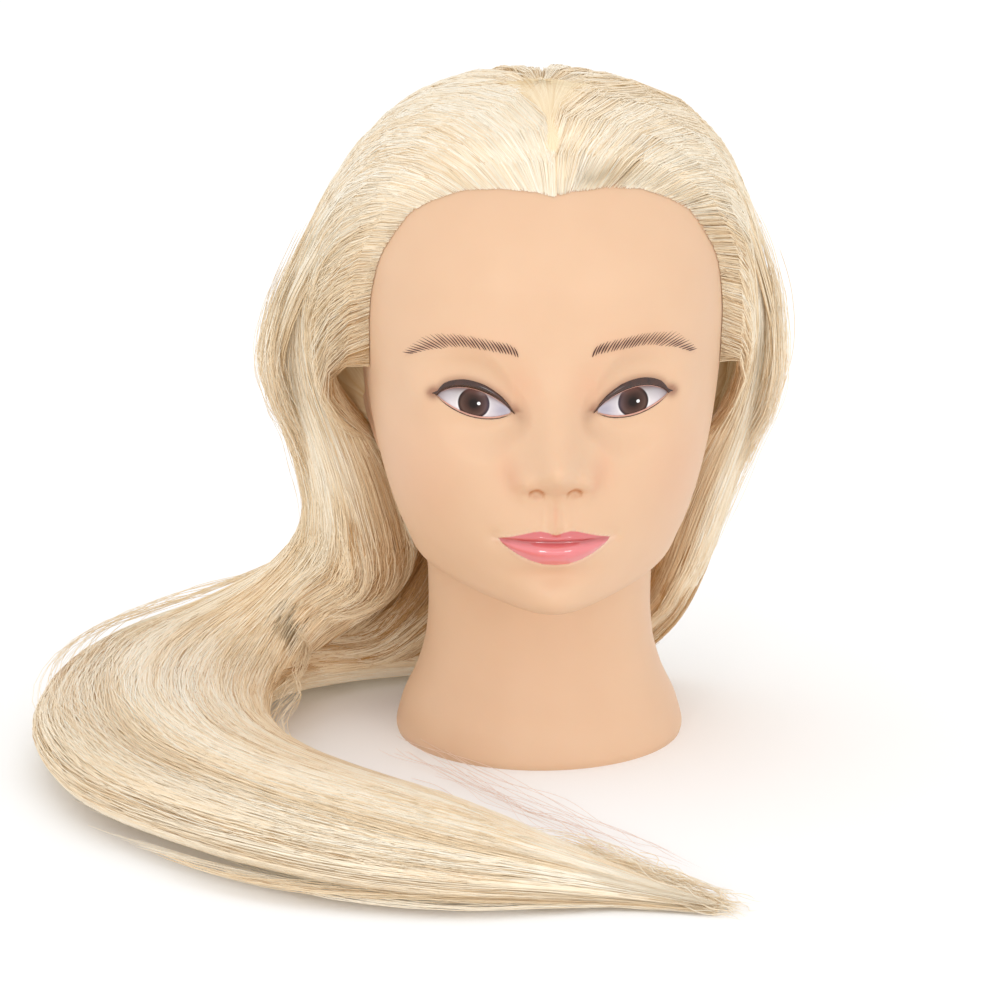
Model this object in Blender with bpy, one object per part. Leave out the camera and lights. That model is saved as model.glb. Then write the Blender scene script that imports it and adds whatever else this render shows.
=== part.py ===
"""Mannequin training head with long rooted hair: a moulded soft head on a flared foot,
a foam core, a tapered clamp socket in a screwed base plate, two eye inserts, and the
hair as separate locks. Metres, +Z up, the face looks towards -Y."""

import math

import bpy
import numpy as np

MM = 0.001
TAU = 2.0 * math.pi

# Clearances
GAP = 0.4
SCALP_GAP = 1.7
SLOPE_GAP = 1.0
FLOOR_GAP = 0.3

# Head form, in millimetres. Each station is one ring of the head from the foot to the
# crown: front (y, z), back (y, z), half width, squareness, pinch towards the front.
STATIONS = (
    (-59.4, 0.0, 59.4, 0.0, 59.4, 2.0, 0.00),
    (-60.0, 3.0, 60.0, 3.0, 60.0, 2.0, 0.00),
    (-57.5, 13.0, 57.5, 13.0, 57.5, 2.0, 0.00),
    (-50.8, 28.0, 50.8, 28.0, 50.8, 2.0, 0.00),
    (-47.2, 42.0, 47.2, 42.0, 47.2, 2.0, 0.00),
    (-46.2, 56.0, 46.4, 56.0, 46.2, 2.0, 0.00),
    (-48.0, 68.0, 47.6, 70.0, 46.4, 2.0, 0.02),
    (-57.0, 75.0, 50.0, 81.0, 48.0, 2.0, 0.20),
    (-74.0, 74.5, 54.0, 91.0, 50.5, 2.0, 0.38),
    (-89.0, 75.0, 58.5, 100.0, 53.0, 2.0, 0.45),
    (-96.0, 81.0, 63.5, 108.0, 56.0, 2.0, 0.42),
    (-97.5, 90.0, 69.0, 117.0, 60.0, 2.05, 0.34),
    (-98.5, 102.0, 75.0, 128.0, 63.8, 2.1, 0.24),
    (-99.0, 116.0, 80.5, 140.0, 67.0, 2.15, 0.15),
    (-98.0, 132.0, 85.5, 153.0, 69.8, 2.2, 0.08),
    (-96.5, 150.0, 89.0, 167.0, 72.0, 2.2, 0.04),
    (-96.0, 168.0, 91.0, 181.0, 73.6, 2.2, 0.02),
    (-97.0, 185.0, 91.5, 195.0, 74.6, 2.2, 0.01),
    (-97.0, 202.0, 90.0, 209.0, 74.6, 2.2, 0.00),
    (-93.5, 219.0, 86.0, 223.0, 72.6, 2.15, 0.00),
    (-85.5, 235.0, 78.0, 237.0, 68.0, 2.1, 0.00),
    (-73.0, 249.0, 65.5, 250.0, 59.5, 2.05, 0.00),
    (-54.0, 260.5, 48.0, 260.5, 46.0, 2.0, 0.00),
    (-30.0, 266.8, 28.0, 266.8, 27.0, 2.0, 0.00),
    (-1.0, 269.0, -1.0, 269.0, 0.0, 2.0, 0.00),
)
CROWN = len(STATIONS) - 1
COLUMNS = 48
FRONT_CROWDING = 0.55
FOOT_RINGS = (0.0, 1.0, 2.0, 3.0, 4.4, 6.0)
FACE_RINGS = 28
DOME_RINGS = 9
DOME_START = 20.0
NORMAL_STEP = 0.02

# Features of the face. Each bump: distance off the middle, height, half width, half
# height, how far it stands forwards.
FACE_BUMPS = (
    (12.5, 132.5, 5.5, 6.5, 8.0),  # wing of the nose
    (0.0, 108.0, 22.0, 17.0, 3.0),  # muzzle
    (0.0, 93.0, 17.0, 4.5, -3.0),  # fold over the chin
    (0.0, 81.5, 13.0, 8.0, 3.5),  # chin
    (27.0, 161.0, 15.0, 9.5, -7.0),  # eye socket
    (26.0, 178.0, 20.0, 7.0, 1.5),  # brow
    (44.0, 136.0, 14.0, 16.0, 3.0),  # cheek
)
# Upper lip, lower lip and parting: height, half height, how far forwards
LIP_ROLLS = ((110.6, 3.4, 3.4), (102.6, 3.8, 4.6), (107.2, 1.6, -2.4))
LIP_FADE = (8.0, 25.0)
RIDGE_HEIGHTS = (122.0, 127.0, 131.0, 136.0, 140.0, 150.0, 160.0, 168.0, 174.0)
RIDGE_FORWARD = (0.0, 3.0, 12.0, 18.0, 19.0, 12.0, 5.0, 1.0, 0.0)
RIDGE_WIDTH_HEIGHTS = (125.0, 140.0, 150.0, 168.0)
RIDGE_WIDTHS = (8.5, 7.5, 6.5, 7.5)
FACE_START = (25.0, 62.0)
FACE_BOTTOM = (70.0, 76.0)

# Skin wall and what is inside it
WALL = 5.0
FACE_WALL = 12.0
BORE_RADIUS = 54.0
BORE_TOP_RING = 2.4
HOLLOW_RINGS = (BORE_TOP_RING, 3.2, 4.4, 5.6, 7.0)
UPPER_HOLLOW = (8.5, CROWN - 0.6, 15)
THICK_FRONT = (20.0, 60.0)
THICK_FROM = (100.0, 130.0)
THICK_TO = (175.0, 200.0)
STEP_RISE = 1.0
CORE_GAP = 0.6
CORE_RISE = 1.8
CORE_INSET = 2.0
CUTTER_REACH = 5.0
SHOULDER = 0.01
PLATE_RADIUS = 53.4
PLATE_THICK = 5.0
SOCKET_FLANGE_RADIUS = 21.0
SOCKET_FLANGE_THICK = 2.5
SOCKET_RADIUS = 15.5
SOCKET_TOP = 84.0
SOCKET_MOUTH_RADIUS = 12.0
SOCKET_END_RADIUS = 11.0
SOCKET_DEPTH = 76.0
SCREW_CIRCLE = 38.0
SCREW_HEAD_RADIUS = 4.0
SCREW_HEAD_DEPTH = 2.4
SCREW_SHANK_RADIUS = 1.7
SCREW_LENGTH = 16.0
SCREW_COUNT = 4
SCREW_CHAMFER = 0.6
SCREW_POINT_LENGTH = 2.5
SCREW_POINT_RADIUS = 0.4
SINK_SPARE = 1.0
ROUND_SIDES = 24
SCREW_SIDES = 12

# Eyes
EYE_X = 31.0
EYE_Y = -82.5
EYE_Z = 158.0
EYE_TURN = math.radians(24.0)
EYE_SLANT = math.radians(8.0)
EYE_HALF_WIDTH = 15.6
EYE_HALF_HEIGHT = 6.6
EYE_DOME = 2.2
EYE_DEPTH = 3.0
POCKET_DEPTH = 3.5
POCKET_REACH = 14.0
LENS_RINGS = (0.92, 0.75, 0.5, 0.22)
EYE_SIDES = 24

# Ears
EAR_Y = -2.0
EAR_Z = 134.0
EAR_HALF_HEIGHT = 26.0
EAR_HALF_LENGTH = 14.0
EAR_DEPTH = 5.5
EAR_FADE = (50.0, 60.0)

# Hair cap
CAP_SPLIT = 240.0
TEMPLE_BOTTOM = 166.0
SIDE_BOTTOM = 118.0
BACK_BOTTOM = 90.0
SIDE_START = 95.0
BACK_START = 140.0
HALF_TURN = 180.0
PATCH_GAP_DEG = 0.35
HAIRLINE = ((240.0, 24.0), (233.0, 39.0), (227.0, 46.0), (211.0, 57.0), (192.0, 65.0), (164.0, 72.0))
LEFT_THICKNESS = ((240.0, 7.0), (220.0, 13.0), (183.0, 25.0), (160.0, 38.0), (130.0, 42.0), (110.0, 36.0))
RIGHT_THICKNESS = ((240.0, 8.0), (220.0, 11.0), (183.0, 17.0), (160.0, 21.0), (130.0, 24.0), (110.0, 22.0))
BACK_THICKNESS = 15.0
TOP_THICKNESS = 6.0
EDGE_THICKNESS = 4.0
EDGE_ROLL = 30.0
BACK_BLEND = (110.0, 165.0)
SLOPE_FROM = 215.0
EAR_NOTCH = 14.0
EAR_NOTCH_FADE = 4.0
TEMPLE_GRID = (9, 8)
SIDE_GRID = (10, 5)
BACK_GRID = (11, 5)
TOP_HEIGHTS = (CAP_SPLIT + GAP, 249.0, 257.0, 263.0, 267.0)
TOP_COLUMNS = 13
TOP_LIFT_END = 262.0
TOP_THINNING = 0.45
APEX_SPARE = 0.6
SCALP_FIRST_RING = 9.0
HALVINGS = 40

# Locks below the cap. Each lock is a row of stations: x, y, z of its centre, half width
# across, half thickness. The left ones lead into the sweep that lies on the table.
LEFT_RUN = (
    (-80.0, 33.0, 117.4, 25.0, 19.0),
    (-75.0, 37.0, 97.0, 27.0, 20.0),
    (-73.0, 46.0, 76.0, 30.0, 24.0),
    (-82.0, 60.0, 52.0, 32.0, 22.0),
    (-102.0, 66.0, 32.0, 34.0, 19.0),
    (-131.0, 52.0, 21.0, 38.0, 17.0),
    (-155.0, 19.0, 17.5, 44.0, 16.0),
    (-162.0, -33.0, 16.5, 45.0, 15.5),
    (-149.0, -86.0, 15.5, 45.0, 14.5),
    (-115.0, -130.0, 14.5, 43.5, 13.5),
    (-74.0, -162.0, 13.2, 42.0, 12.5),
    (-37.0, -182.0, 11.0, 34.0, 10.5),
    (-5.0, -194.0, 7.8, 21.0, 7.3),
    (20.0, -203.5, 4.8, 11.0, 4.4),
    (37.0, -211.5, 3.2, 5.5, 2.9),
    (51.0, -218.0, 2.4, 2.4, 2.0),
)
RIGHT_RUN = (
    (78.0, 32.0, 117.4, 24.0, 14.0),
    (70.5, 36.0, 96.0, 24.0, 15.0),
    (65.0, 42.0, 70.0, 22.0, 14.0),
    (59.0, 50.0, 44.0, 17.0, 11.5),
    (47.0, 59.0, 22.0, 12.0, 8.5),
    (33.0, 66.0, 9.5, 8.0, 6.0),
)
BACK_RUN = (
    (0.0, 73.0, 89.4, 13.0, 40.0),
    (-4.0, 75.0, 68.0, 15.0, 35.0),
    (-15.0, 76.0, 46.0, 17.0, 26.0),
    (-38.0, 74.0, 24.0, 20.0, 14.0),
    (-66.0, 69.0, 10.5, 20.0, 7.5),
)
LEFT_WISP = (
    (-101.0, 8.0, 196.0),
    (-110.0, 2.0, 178.0),
    (-113.5, -2.0, 160.0),
    (-111.0, 8.0, 142.0),
    (-104.5, 21.0, 125.0),
)
RIGHT_WISP = (
    (91.0, 4.0, 200.0),
    (95.0, 0.0, 182.0),
    (95.5, -4.0, 160.0),
    (94.0, 4.0, 138.0),
    (90.5, 18.0, 121.0),
)
WISP_RADIUS = 1.4
RUN_STEP = 0.1
SECTION_STEP = 0.5
WISP_STEP = 0.5
UPPER_END = 2.0
BACKWARDS = (0.0, 1.0, 0.0)
LOCK_SIDES = 12
WISP_SIDES = 6
LEFT_CUTS = (0.0, 2.0, 4.0, 6.0, 8.0, 10.0, 12.0, 13.4, 15.0)
LEFT_NAMES = (
    "hair_fall_left_upper",
    "hair_fall_left_lower",
    "hair_sweep_back",
    "hair_sweep_bend_rear",
    "hair_sweep_bend_front",
    "hair_sweep_front",
    "hair_tail",
    "hair_tail_tip",
)

# Colours: linear RGB, roughness, metallic
SKIN = ("skin_pvc", (0.86, 0.55, 0.39), 0.45, 0.0)
FOAM = ("core_foam", (0.80, 0.74, 0.55), 0.9, 0.0)
EYE = ("eye_gloss", (0.10, 0.06, 0.05), 0.08, 0.0)
HAIR = ("hair_blonde", (0.78, 0.62, 0.38), 0.4, 0.0)
PLASTIC = ("base_plastic", (0.05, 0.05, 0.05), 0.5, 0.0)
STEEL = ("screw_steel", (0.60, 0.60, 0.62), 0.3, 1.0)


def clear_scene():
    for obj in list(bpy.data.objects):
        bpy.data.objects.remove(obj, do_unlink=True)


def material(spec):
    name, colour, roughness, metallic = spec
    found = bpy.data.materials.get(name)
    if found:
        return found
    made = bpy.data.materials.new(name)
    made.use_nodes = True
    shader = made.node_tree.nodes["Principled BSDF"]
    shader.inputs["Base Color"].default_value = (*colour, 1.0)
    shader.inputs["Roughness"].default_value = roughness
    shader.inputs["Metallic"].default_value = metallic
    made.diffuse_color = (*colour, 1.0)
    return made


def mesh_object(name, points_mm, faces, spec):
    mesh = bpy.data.meshes.new(name)
    mesh.from_pydata([tuple(p) for p in np.asarray(points_mm) * MM], [], faces)
    mesh.validate()
    mesh.update()
    obj = bpy.data.objects.new(name, mesh)
    obj.data.materials.append(material(spec))
    bpy.context.scene.collection.objects.link(obj)
    return obj


def smooth_step(value, low, high):
    t = np.clip((value - low) / (high - low), 0.0, 1.0)
    return t * t * (3.0 - 2.0 * t)


def channel(rows, column, at):
    """One column of a station table at fractional positions, as a shape-keeping cubic."""
    known = np.array([row[column] for row in rows], float)
    steps = np.diff(known)
    slopes = np.zeros(len(known))
    same_way = steps[:-1] * steps[1:] > 0.0
    inner = np.zeros(len(steps) - 1)
    total = steps[:-1] + steps[1:]
    inner[same_way] = 2.0 * (steps[:-1] * steps[1:])[same_way] / total[same_way]
    slopes[1:-1] = inner
    slopes[0] = steps[0]
    slopes[-1] = steps[-1]
    low = np.clip(np.floor(at).astype(int), 0, len(known) - 2)
    t = at - low
    rise = known[low] * (2 * t**3 - 3 * t**2 + 1) + known[low + 1] * (3 * t**2 - 2 * t**3)
    return rise + slopes[low] * (t**3 - 2 * t**2 + t) + slopes[low + 1] * (t**3 - t**2)


def head_form(ring, angle):
    """Points of the plain head, without features. angle 0 is the front, +X at a quarter turn."""
    ring = np.asarray(ring, float)
    values = [channel(STATIONS, i, ring) for i in range(7)]
    front_y, front_z, back_y, back_z, half, square, pinch = values
    cosine = np.cos(angle)
    sine = np.sin(angle)
    along = np.sign(cosine) * np.abs(cosine) ** (2.0 / square)
    across = np.sign(sine) * np.abs(sine) ** (2.0 / square)
    across = across * (1.0 - pinch * np.clip(along, 0.0, 1.0) ** 2)
    x = half * across
    y = 0.5 * (front_y + back_y) + 0.5 * (front_y - back_y) * along
    z = 0.5 * (front_z + back_z) + 0.5 * (front_z - back_z) * along
    return np.stack([x, y, z], axis=-1)


def bump(x, z, at_x, at_z, wide, tall):
    return np.exp(-(((x - at_x) / wide) ** 2) - ((z - at_z) / tall) ** 2)


def nose_ridge(x, z):
    height = np.interp(z, RIDGE_HEIGHTS, RIDGE_FORWARD)
    width = np.interp(z, RIDGE_WIDTH_HEIGHTS, RIDGE_WIDTHS)
    return height * np.exp(-((x / width) ** 2))


def lips(x, z):
    side = 1.0 - smooth_step(np.abs(x), *LIP_FADE)
    total = np.zeros(np.shape(z))
    for at_z, tall, forward in LIP_ROLLS:
        total += forward * side * np.exp(-(((z - at_z) / tall) ** 2))
    return total


def face_bumps(x, z):
    total = np.zeros(np.shape(z))
    for at_x, at_z, wide, tall, forward in FACE_BUMPS:
        total += forward * bump(np.abs(x), z, at_x, at_z, wide, tall)
    return total


def ear_depth(y, z):
    """How far the moulded ear stands out of the side of the head."""
    rise = np.clip(1.0 - ((z - EAR_Z) / EAR_HALF_HEIGHT) ** 2, 0.0, 1.0)
    run = np.clip(1.0 - ((y - EAR_Y) / EAR_HALF_LENGTH) ** 2, 0.0, 1.0)
    return EAR_DEPTH * np.sqrt(rise) * run


def head_surface(ring, angle):
    """The plain form with the features of the face and the ears."""
    form = head_form(ring, angle)
    x, y, z = form[..., 0], form[..., 1], form[..., 2]
    facing = smooth_step(-y, *FACE_START) * smooth_step(z, *FACE_BOTTOM)
    forward = nose_ridge(x, z) + lips(x, z) + face_bumps(x, z)
    form[..., 1] = y - forward * facing
    form[..., 0] = x + np.sign(x) * ear_depth(y, z) * smooth_step(np.abs(x), *EAR_FADE)
    return form


def column_angles():
    """Angles round the head, closer together at the face."""
    even = np.arange(COLUMNS) * TAU / COLUMNS
    return even - FRONT_CROWDING * np.sin(even)


def ring_positions():
    face = np.linspace(FOOT_RINGS[-1], DOME_START, FACE_RINGS)[1:]
    dome = np.linspace(DOME_START, CROWN, DOME_RINGS)[1:-1]
    return np.concatenate([FOOT_RINGS, face, dome])


def form_normals(ring, angle):
    ahead = np.minimum(ring + NORMAL_STEP, CROWN)
    up = head_form(ahead, angle) - head_form(ring - NORMAL_STEP, angle)
    round_it = head_form(ring, angle + NORMAL_STEP) - head_form(ring, angle - NORMAL_STEP)
    normal = np.cross(round_it, up)
    return normal / np.linalg.norm(normal, axis=-1, keepdims=True)


def grid_faces(rings, columns, offset=0, flip=False):
    """Triangles of a closed band of rings, row after row, facing out, all split the same way."""
    faces = []
    for r in range(rings - 1):
        for c in range(columns):
            following = (c + 1) % columns
            low = offset + r * columns
            high = low + columns
            for tri in ((low + c, low + following, high + following), (low + c, high + following, high + c)):
                faces.append(tri[::-1] if flip else tri)
    return faces


def fan_faces(ring_start, columns, apex, flip=False):
    faces = []
    for c in range(columns):
        tri = (ring_start + c, ring_start + (c + 1) % columns, apex)
        faces.append(tri[::-1] if flip else tri)
    return faces


def wall_at(points):
    """Wall thickness behind each point of the plain form: thicker behind the face."""
    face = smooth_step(-points[..., 1], *THICK_FRONT)
    z = points[..., 2]
    high = smooth_step(z, *THICK_FROM) * (1.0 - smooth_step(z, *THICK_TO))
    return WALL + (FACE_WALL - WALL) * face * high


def hollow_rings(extra):
    """Rings of the hollow in the skin, each point moved in by the wall and by extra."""
    angles = np.arange(COLUMNS // 2) * TAU / (COLUMNS // 2)
    rows = np.concatenate([HOLLOW_RINGS, np.linspace(*UPPER_HOLLOW)])
    ring, angle = np.meshgrid(rows, angles, indexing="ij")
    form = head_form(ring, angle)
    inside = form - form_normals(ring, angle) * (wall_at(form) + extra)[..., None]
    return inside.reshape(-1, 3), len(rows), len(angles)


def circle(radius, z, sides):
    angles = np.arange(sides) * TAU / sides
    return np.stack([radius * np.sin(angles), -radius * np.cos(angles), np.full(sides, z)], axis=-1)


def skin_shell():
    rings = ring_positions()
    ring, angle = np.meshgrid(rings, column_angles(), indexing="ij")
    outer = head_surface(ring, angle).reshape(-1, 3)
    crown = np.array([[0.0, STATIONS[-1][0], STATIONS[-1][1]]])
    hollow, hollow_rows, hollow_columns = hollow_rings(0.0)
    mouth = circle(BORE_RADIUS, 0.0, hollow_columns)
    step = circle(BORE_RADIUS, PLATE_THICK + STEP_RISE, hollow_columns)
    peak = np.array([[0.0, STATIONS[-1][0], STATIONS[-1][1] - WALL]])
    points = np.concatenate([outer, crown, mouth, step, hollow, peak])
    top = len(outer)
    faces = grid_faces(len(rings), COLUMNS)
    faces += fan_faces((len(rings) - 1) * COLUMNS, COLUMNS, top)
    inner_start = top + 1
    faces += grid_faces(hollow_rows + 2, hollow_columns, inner_start, flip=True)
    last = inner_start + (hollow_rows + 1) * hollow_columns
    faces += fan_faces(last, hollow_columns, len(points) - 1, flip=True)
    faces += rim_faces(COLUMNS, hollow_columns, inner_start)
    return mesh_object("head_skin", points, faces, SKIN)


def rim_faces(outer_count, inner_count, inner_start):
    """The flat underside between the outer ring and the mouth of the hollow, two to one."""
    ratio = outer_count // inner_count
    faces = []
    for c in range(inner_count):
        first = inner_start + c
        second = inner_start + (c + 1) % inner_count
        for k in range(ratio):
            a = c * ratio + k
            faces.append((first, (a + 1) % outer_count, a))
        faces.append((first, second, ((c + 1) * ratio) % outer_count))
    return faces


def cut(target, cutter):
    change = target.modifiers.new("cut", "BOOLEAN")
    change.operation = "DIFFERENCE"
    change.solver = "EXACT"
    change.object = cutter
    cutter.hide_render = True
    cutter.display_type = "WIRE"


def eye_frame(side):
    """Centre, outward and backward axis, slanted up axis and outward normal of one eye."""
    across = np.array([side * math.cos(EYE_TURN), math.sin(EYE_TURN), 0.0])
    normal = np.array([side * math.sin(EYE_TURN), -math.cos(EYE_TURN), 0.0])
    up = np.array([0.0, 0.0, 1.0])
    along = across * math.cos(EYE_SLANT) + up * math.sin(EYE_SLANT)
    rise = up * math.cos(EYE_SLANT) - across * math.sin(EYE_SLANT)
    return np.array([side * EYE_X, EYE_Y, EYE_Z]), along, rise, normal


def eye_ring(side, scale, depth, grow=0.0):
    centre, along, rise, normal = eye_frame(side)
    angles = np.arange(EYE_SIDES) * TAU / EYE_SIDES
    wide = (EYE_HALF_WIDTH + grow) * scale * np.cos(angles)
    tall = (EYE_HALF_HEIGHT + grow) * scale * np.sin(angles)
    return centre + np.outer(wide, along) + np.outer(tall, rise) + depth * normal


def stacked(name, rings, spec, flip=False):
    """A closed body from a stack of rings, with a flat face at each end."""
    sides = len(rings[0])
    faces = grid_faces(len(rings), sides, flip=flip)
    bottom = tuple(range(sides))
    top = tuple(range((len(rings) - 1) * sides, len(rings) * sides))
    faces += [bottom, top[::-1]] if flip else [bottom[::-1], top]
    return mesh_object(name, np.concatenate(rings), faces, spec)


def eye_insert(side, name):
    """A glossy lens that fills the pocket, flat behind and domed in front."""
    rings = [eye_ring(side, 1.0, -EYE_DEPTH), eye_ring(side, 1.0, 0.0)]
    for scale in LENS_RINGS:
        rings.append(eye_ring(side, scale, EYE_DOME * (1.0 - scale**2)))
    return stacked(name, rings, EYE, flip=side < 0)


def eye_pocket(side, name):
    rings = [eye_ring(side, 1.0, -POCKET_DEPTH, GAP), eye_ring(side, 1.0, POCKET_REACH, GAP)]
    return stacked(name, rings, SKIN, flip=side < 0)


def foam_core():
    hollow, rows, columns = hollow_rings(CORE_GAP)
    low = circle(BORE_RADIUS - CORE_INSET, PLATE_THICK + CORE_RISE, columns)
    peak = np.array([[0.0, STATIONS[-1][0], STATIONS[-1][1] - WALL - CORE_GAP]])
    points = np.concatenate([low, hollow, peak])
    faces = grid_faces(rows + 1, columns)
    faces += fan_faces(rows * columns, columns, len(points) - 1)
    faces.append(tuple(range(columns))[::-1])
    core = mesh_object("skull_core", points, faces, FOAM)
    bore = stacked(
        "cutter_core_bore",
        [
            circle(SOCKET_RADIUS + GAP, -CUTTER_REACH, ROUND_SIDES),
            circle(SOCKET_RADIUS + GAP, SOCKET_TOP + GAP, ROUND_SIDES),
        ],
        FOAM,
    )
    cut(core, bore)
    for number, centre in enumerate(screw_centres(), 1):
        hole = round_stack(
            f"cutter_core_screw_{number}",
            centre,
            ((SCREW_SHANK_RADIUS + GAP, -CUTTER_REACH), (SCREW_SHANK_RADIUS + GAP, SCREW_LENGTH + GAP)),
            FOAM,
        )
        cut(core, hole)
    return core


def round_stack(name, centre, profile, spec, sides=SCREW_SIDES):
    shift = np.array([centre[0], centre[1], 0.0])
    rings = [circle(radius, z, sides) + shift for radius, z in profile]
    return stacked(name, rings, spec)


def screw_centres():
    turns = [math.pi / SCREW_COUNT + k * TAU / SCREW_COUNT for k in range(SCREW_COUNT)]
    return [(SCREW_CIRCLE * math.cos(t), SCREW_CIRCLE * math.sin(t)) for t in turns]


def base_plate():
    profile = ((PLATE_RADIUS, 0.0), (PLATE_RADIUS, PLATE_THICK))
    plate = round_stack("base_plate", (0.0, 0.0), profile, PLASTIC, sides=2 * ROUND_SIDES)
    hole = round_stack(
        "cutter_plate_hole",
        (0.0, 0.0),
        (
            (SOCKET_FLANGE_RADIUS + GAP, -CUTTER_REACH),
            (SOCKET_FLANGE_RADIUS + GAP, SOCKET_FLANGE_THICK + GAP),
            (SOCKET_RADIUS + GAP, SOCKET_FLANGE_THICK + GAP + SHOULDER),
            (SOCKET_RADIUS + GAP, PLATE_THICK + CUTTER_REACH),
        ),
        PLASTIC,
        sides=ROUND_SIDES,
    )
    cut(plate, hole)
    for number, centre in enumerate(screw_centres(), 1):
        sink = round_stack(
            f"cutter_sink_{number}",
            centre,
            (
                (SCREW_HEAD_RADIUS + GAP, -CUTTER_REACH),
                (SCREW_HEAD_RADIUS + GAP, SCREW_HEAD_DEPTH + SINK_SPARE),
                (SCREW_SHANK_RADIUS + GAP, SCREW_HEAD_DEPTH + SINK_SPARE + SHOULDER),
                (SCREW_SHANK_RADIUS + GAP, PLATE_THICK + CUTTER_REACH),
            ),
            PLASTIC,
        )
        cut(plate, sink)
    return plate


def base_screws():
    for number, centre in enumerate(screw_centres(), 1):
        round_stack(
            f"base_screw_{number}",
            centre,
            (
                (SCREW_HEAD_RADIUS - SCREW_CHAMFER, GAP),
                (SCREW_HEAD_RADIUS, GAP + SCREW_CHAMFER),
                (SCREW_HEAD_RADIUS, SCREW_HEAD_DEPTH + GAP),
                (SCREW_SHANK_RADIUS, SCREW_HEAD_DEPTH + GAP + SHOULDER),
                (SCREW_SHANK_RADIUS, SCREW_LENGTH - SCREW_POINT_LENGTH),
                (SCREW_POINT_RADIUS, SCREW_LENGTH),
            ),
            STEEL,
        )


def clamp_socket():
    """Flanged tube, closed at the top, with a bore that narrows upwards."""
    sides = ROUND_SIDES
    profile = (
        (SOCKET_MOUTH_RADIUS, 0.0),
        (SOCKET_FLANGE_RADIUS, 0.0),
        (SOCKET_FLANGE_RADIUS, SOCKET_FLANGE_THICK),
        (SOCKET_RADIUS, SOCKET_FLANGE_THICK + SHOULDER),
        (SOCKET_RADIUS, SOCKET_TOP),
    )
    outer = [circle(radius, z, sides) for radius, z in profile]
    end = circle(SOCKET_END_RADIUS, SOCKET_DEPTH, sides)
    points = np.concatenate([*outer, end])
    faces = grid_faces(len(outer), sides)
    top = (len(outer) - 1) * sides
    faces.append(tuple(range(top, top + sides)))
    bore = len(outer) * sides
    for c in range(sides):
        following = (c + 1) % sides
        faces.append((bore + c, bore + following, following, c))
    faces.append(tuple(range(bore, bore + sides))[::-1])
    return mesh_object("clamp_socket", points, faces, PLASTIC)


def ring_at_height(z, angle):
    """The ring position where the meridian at this angle reaches this height."""
    low = np.full(np.shape(angle), SCALP_FIRST_RING)
    high = np.full(np.shape(angle), float(CROWN))
    for _ in range(HALVINGS):
        middle = 0.5 * (low + high)
        below = head_form(middle, angle)[..., 2] < z
        low = np.where(below, middle, low)
        high = np.where(below, high, middle)
    return 0.5 * (low + high)


def from_pairs(pairs, z):
    heights = [pair[0] for pair in pairs]
    values = [pair[1] for pair in pairs]
    return np.interp(z, heights[::-1], values[::-1])


def cap_thickness(z, degrees, side):
    """Thickness of the hair over the scalp at a height and an angle from the front."""
    table = LEFT_THICKNESS if side < 0 else RIGHT_THICKNESS
    full = from_pairs(table, z)
    start = from_pairs(HAIRLINE, z)
    rolled = EDGE_THICKNESS + (full - EDGE_THICKNESS) * smooth_step(degrees, start, start + EDGE_ROLL)
    return rolled + (BACK_THICKNESS - full) * smooth_step(degrees, *BACK_BLEND)


def scalp_gap(z):
    """Level gap to the scalp, larger where the scalp slopes in towards the crown."""
    return SCALP_GAP + SLOPE_GAP * smooth_step(z, SLOPE_FROM, CAP_SPLIT)


def cap_point(z, degrees, side, thickness):
    angle = side * np.radians(degrees)
    scalp = head_form(ring_at_height(z, angle), angle)
    out = scalp[..., :2] - np.array([0.0, STATIONS[-1][0]])
    out = out / np.linalg.norm(out, axis=-1, keepdims=True)
    scalp[..., 0] += out[..., 0] * thickness
    scalp[..., 1] += out[..., 1] * thickness
    return scalp


def slab_faces(rows, columns, flip):
    """Faces of a slab made of an inner grid followed by an outer grid."""
    count = rows * columns
    faces = []
    for r in range(rows - 1):
        for c in range(columns - 1):
            a = r * columns + c
            inner = (a, a + columns, a + columns + 1, a + 1)
            faces.append(inner)
            faces.append(tuple(i + count for i in inner[::-1]))
    edges = [(c, c + 1) for c in range(columns - 1)]
    edges += [(r * columns + columns - 1, (r + 1) * columns + columns - 1) for r in range(rows - 1)]
    last = (rows - 1) * columns
    edges += [(last + c + 1, last + c) for c in range(columns - 1)]
    edges += [((r + 1) * columns, r * columns) for r in range(rows - 1)]
    faces += [(a, b, b + count, a + count) for a, b in edges]
    return [face[::-1] for face in faces] if flip else faces


def cap_patch(name, side, heights, start, stop, columns):
    """One closed section of the hair over the scalp, between two angles."""
    z = np.asarray(heights, float)[:, None]
    first = start(z)
    share = np.linspace(0.0, 1.0, columns)[None, :]
    degrees = first + (stop - first) * share
    z = np.broadcast_to(z, degrees.shape)
    inner = cap_point(z, degrees, side, scalp_gap(z))
    outer = cap_point(z, degrees, side, cap_thickness(z, degrees, side))
    points = np.concatenate([inner.reshape(-1, 3), outer.reshape(-1, 3)])
    return mesh_object(name, points, slab_faces(len(heights), columns, side < 0), HAIR)


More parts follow.
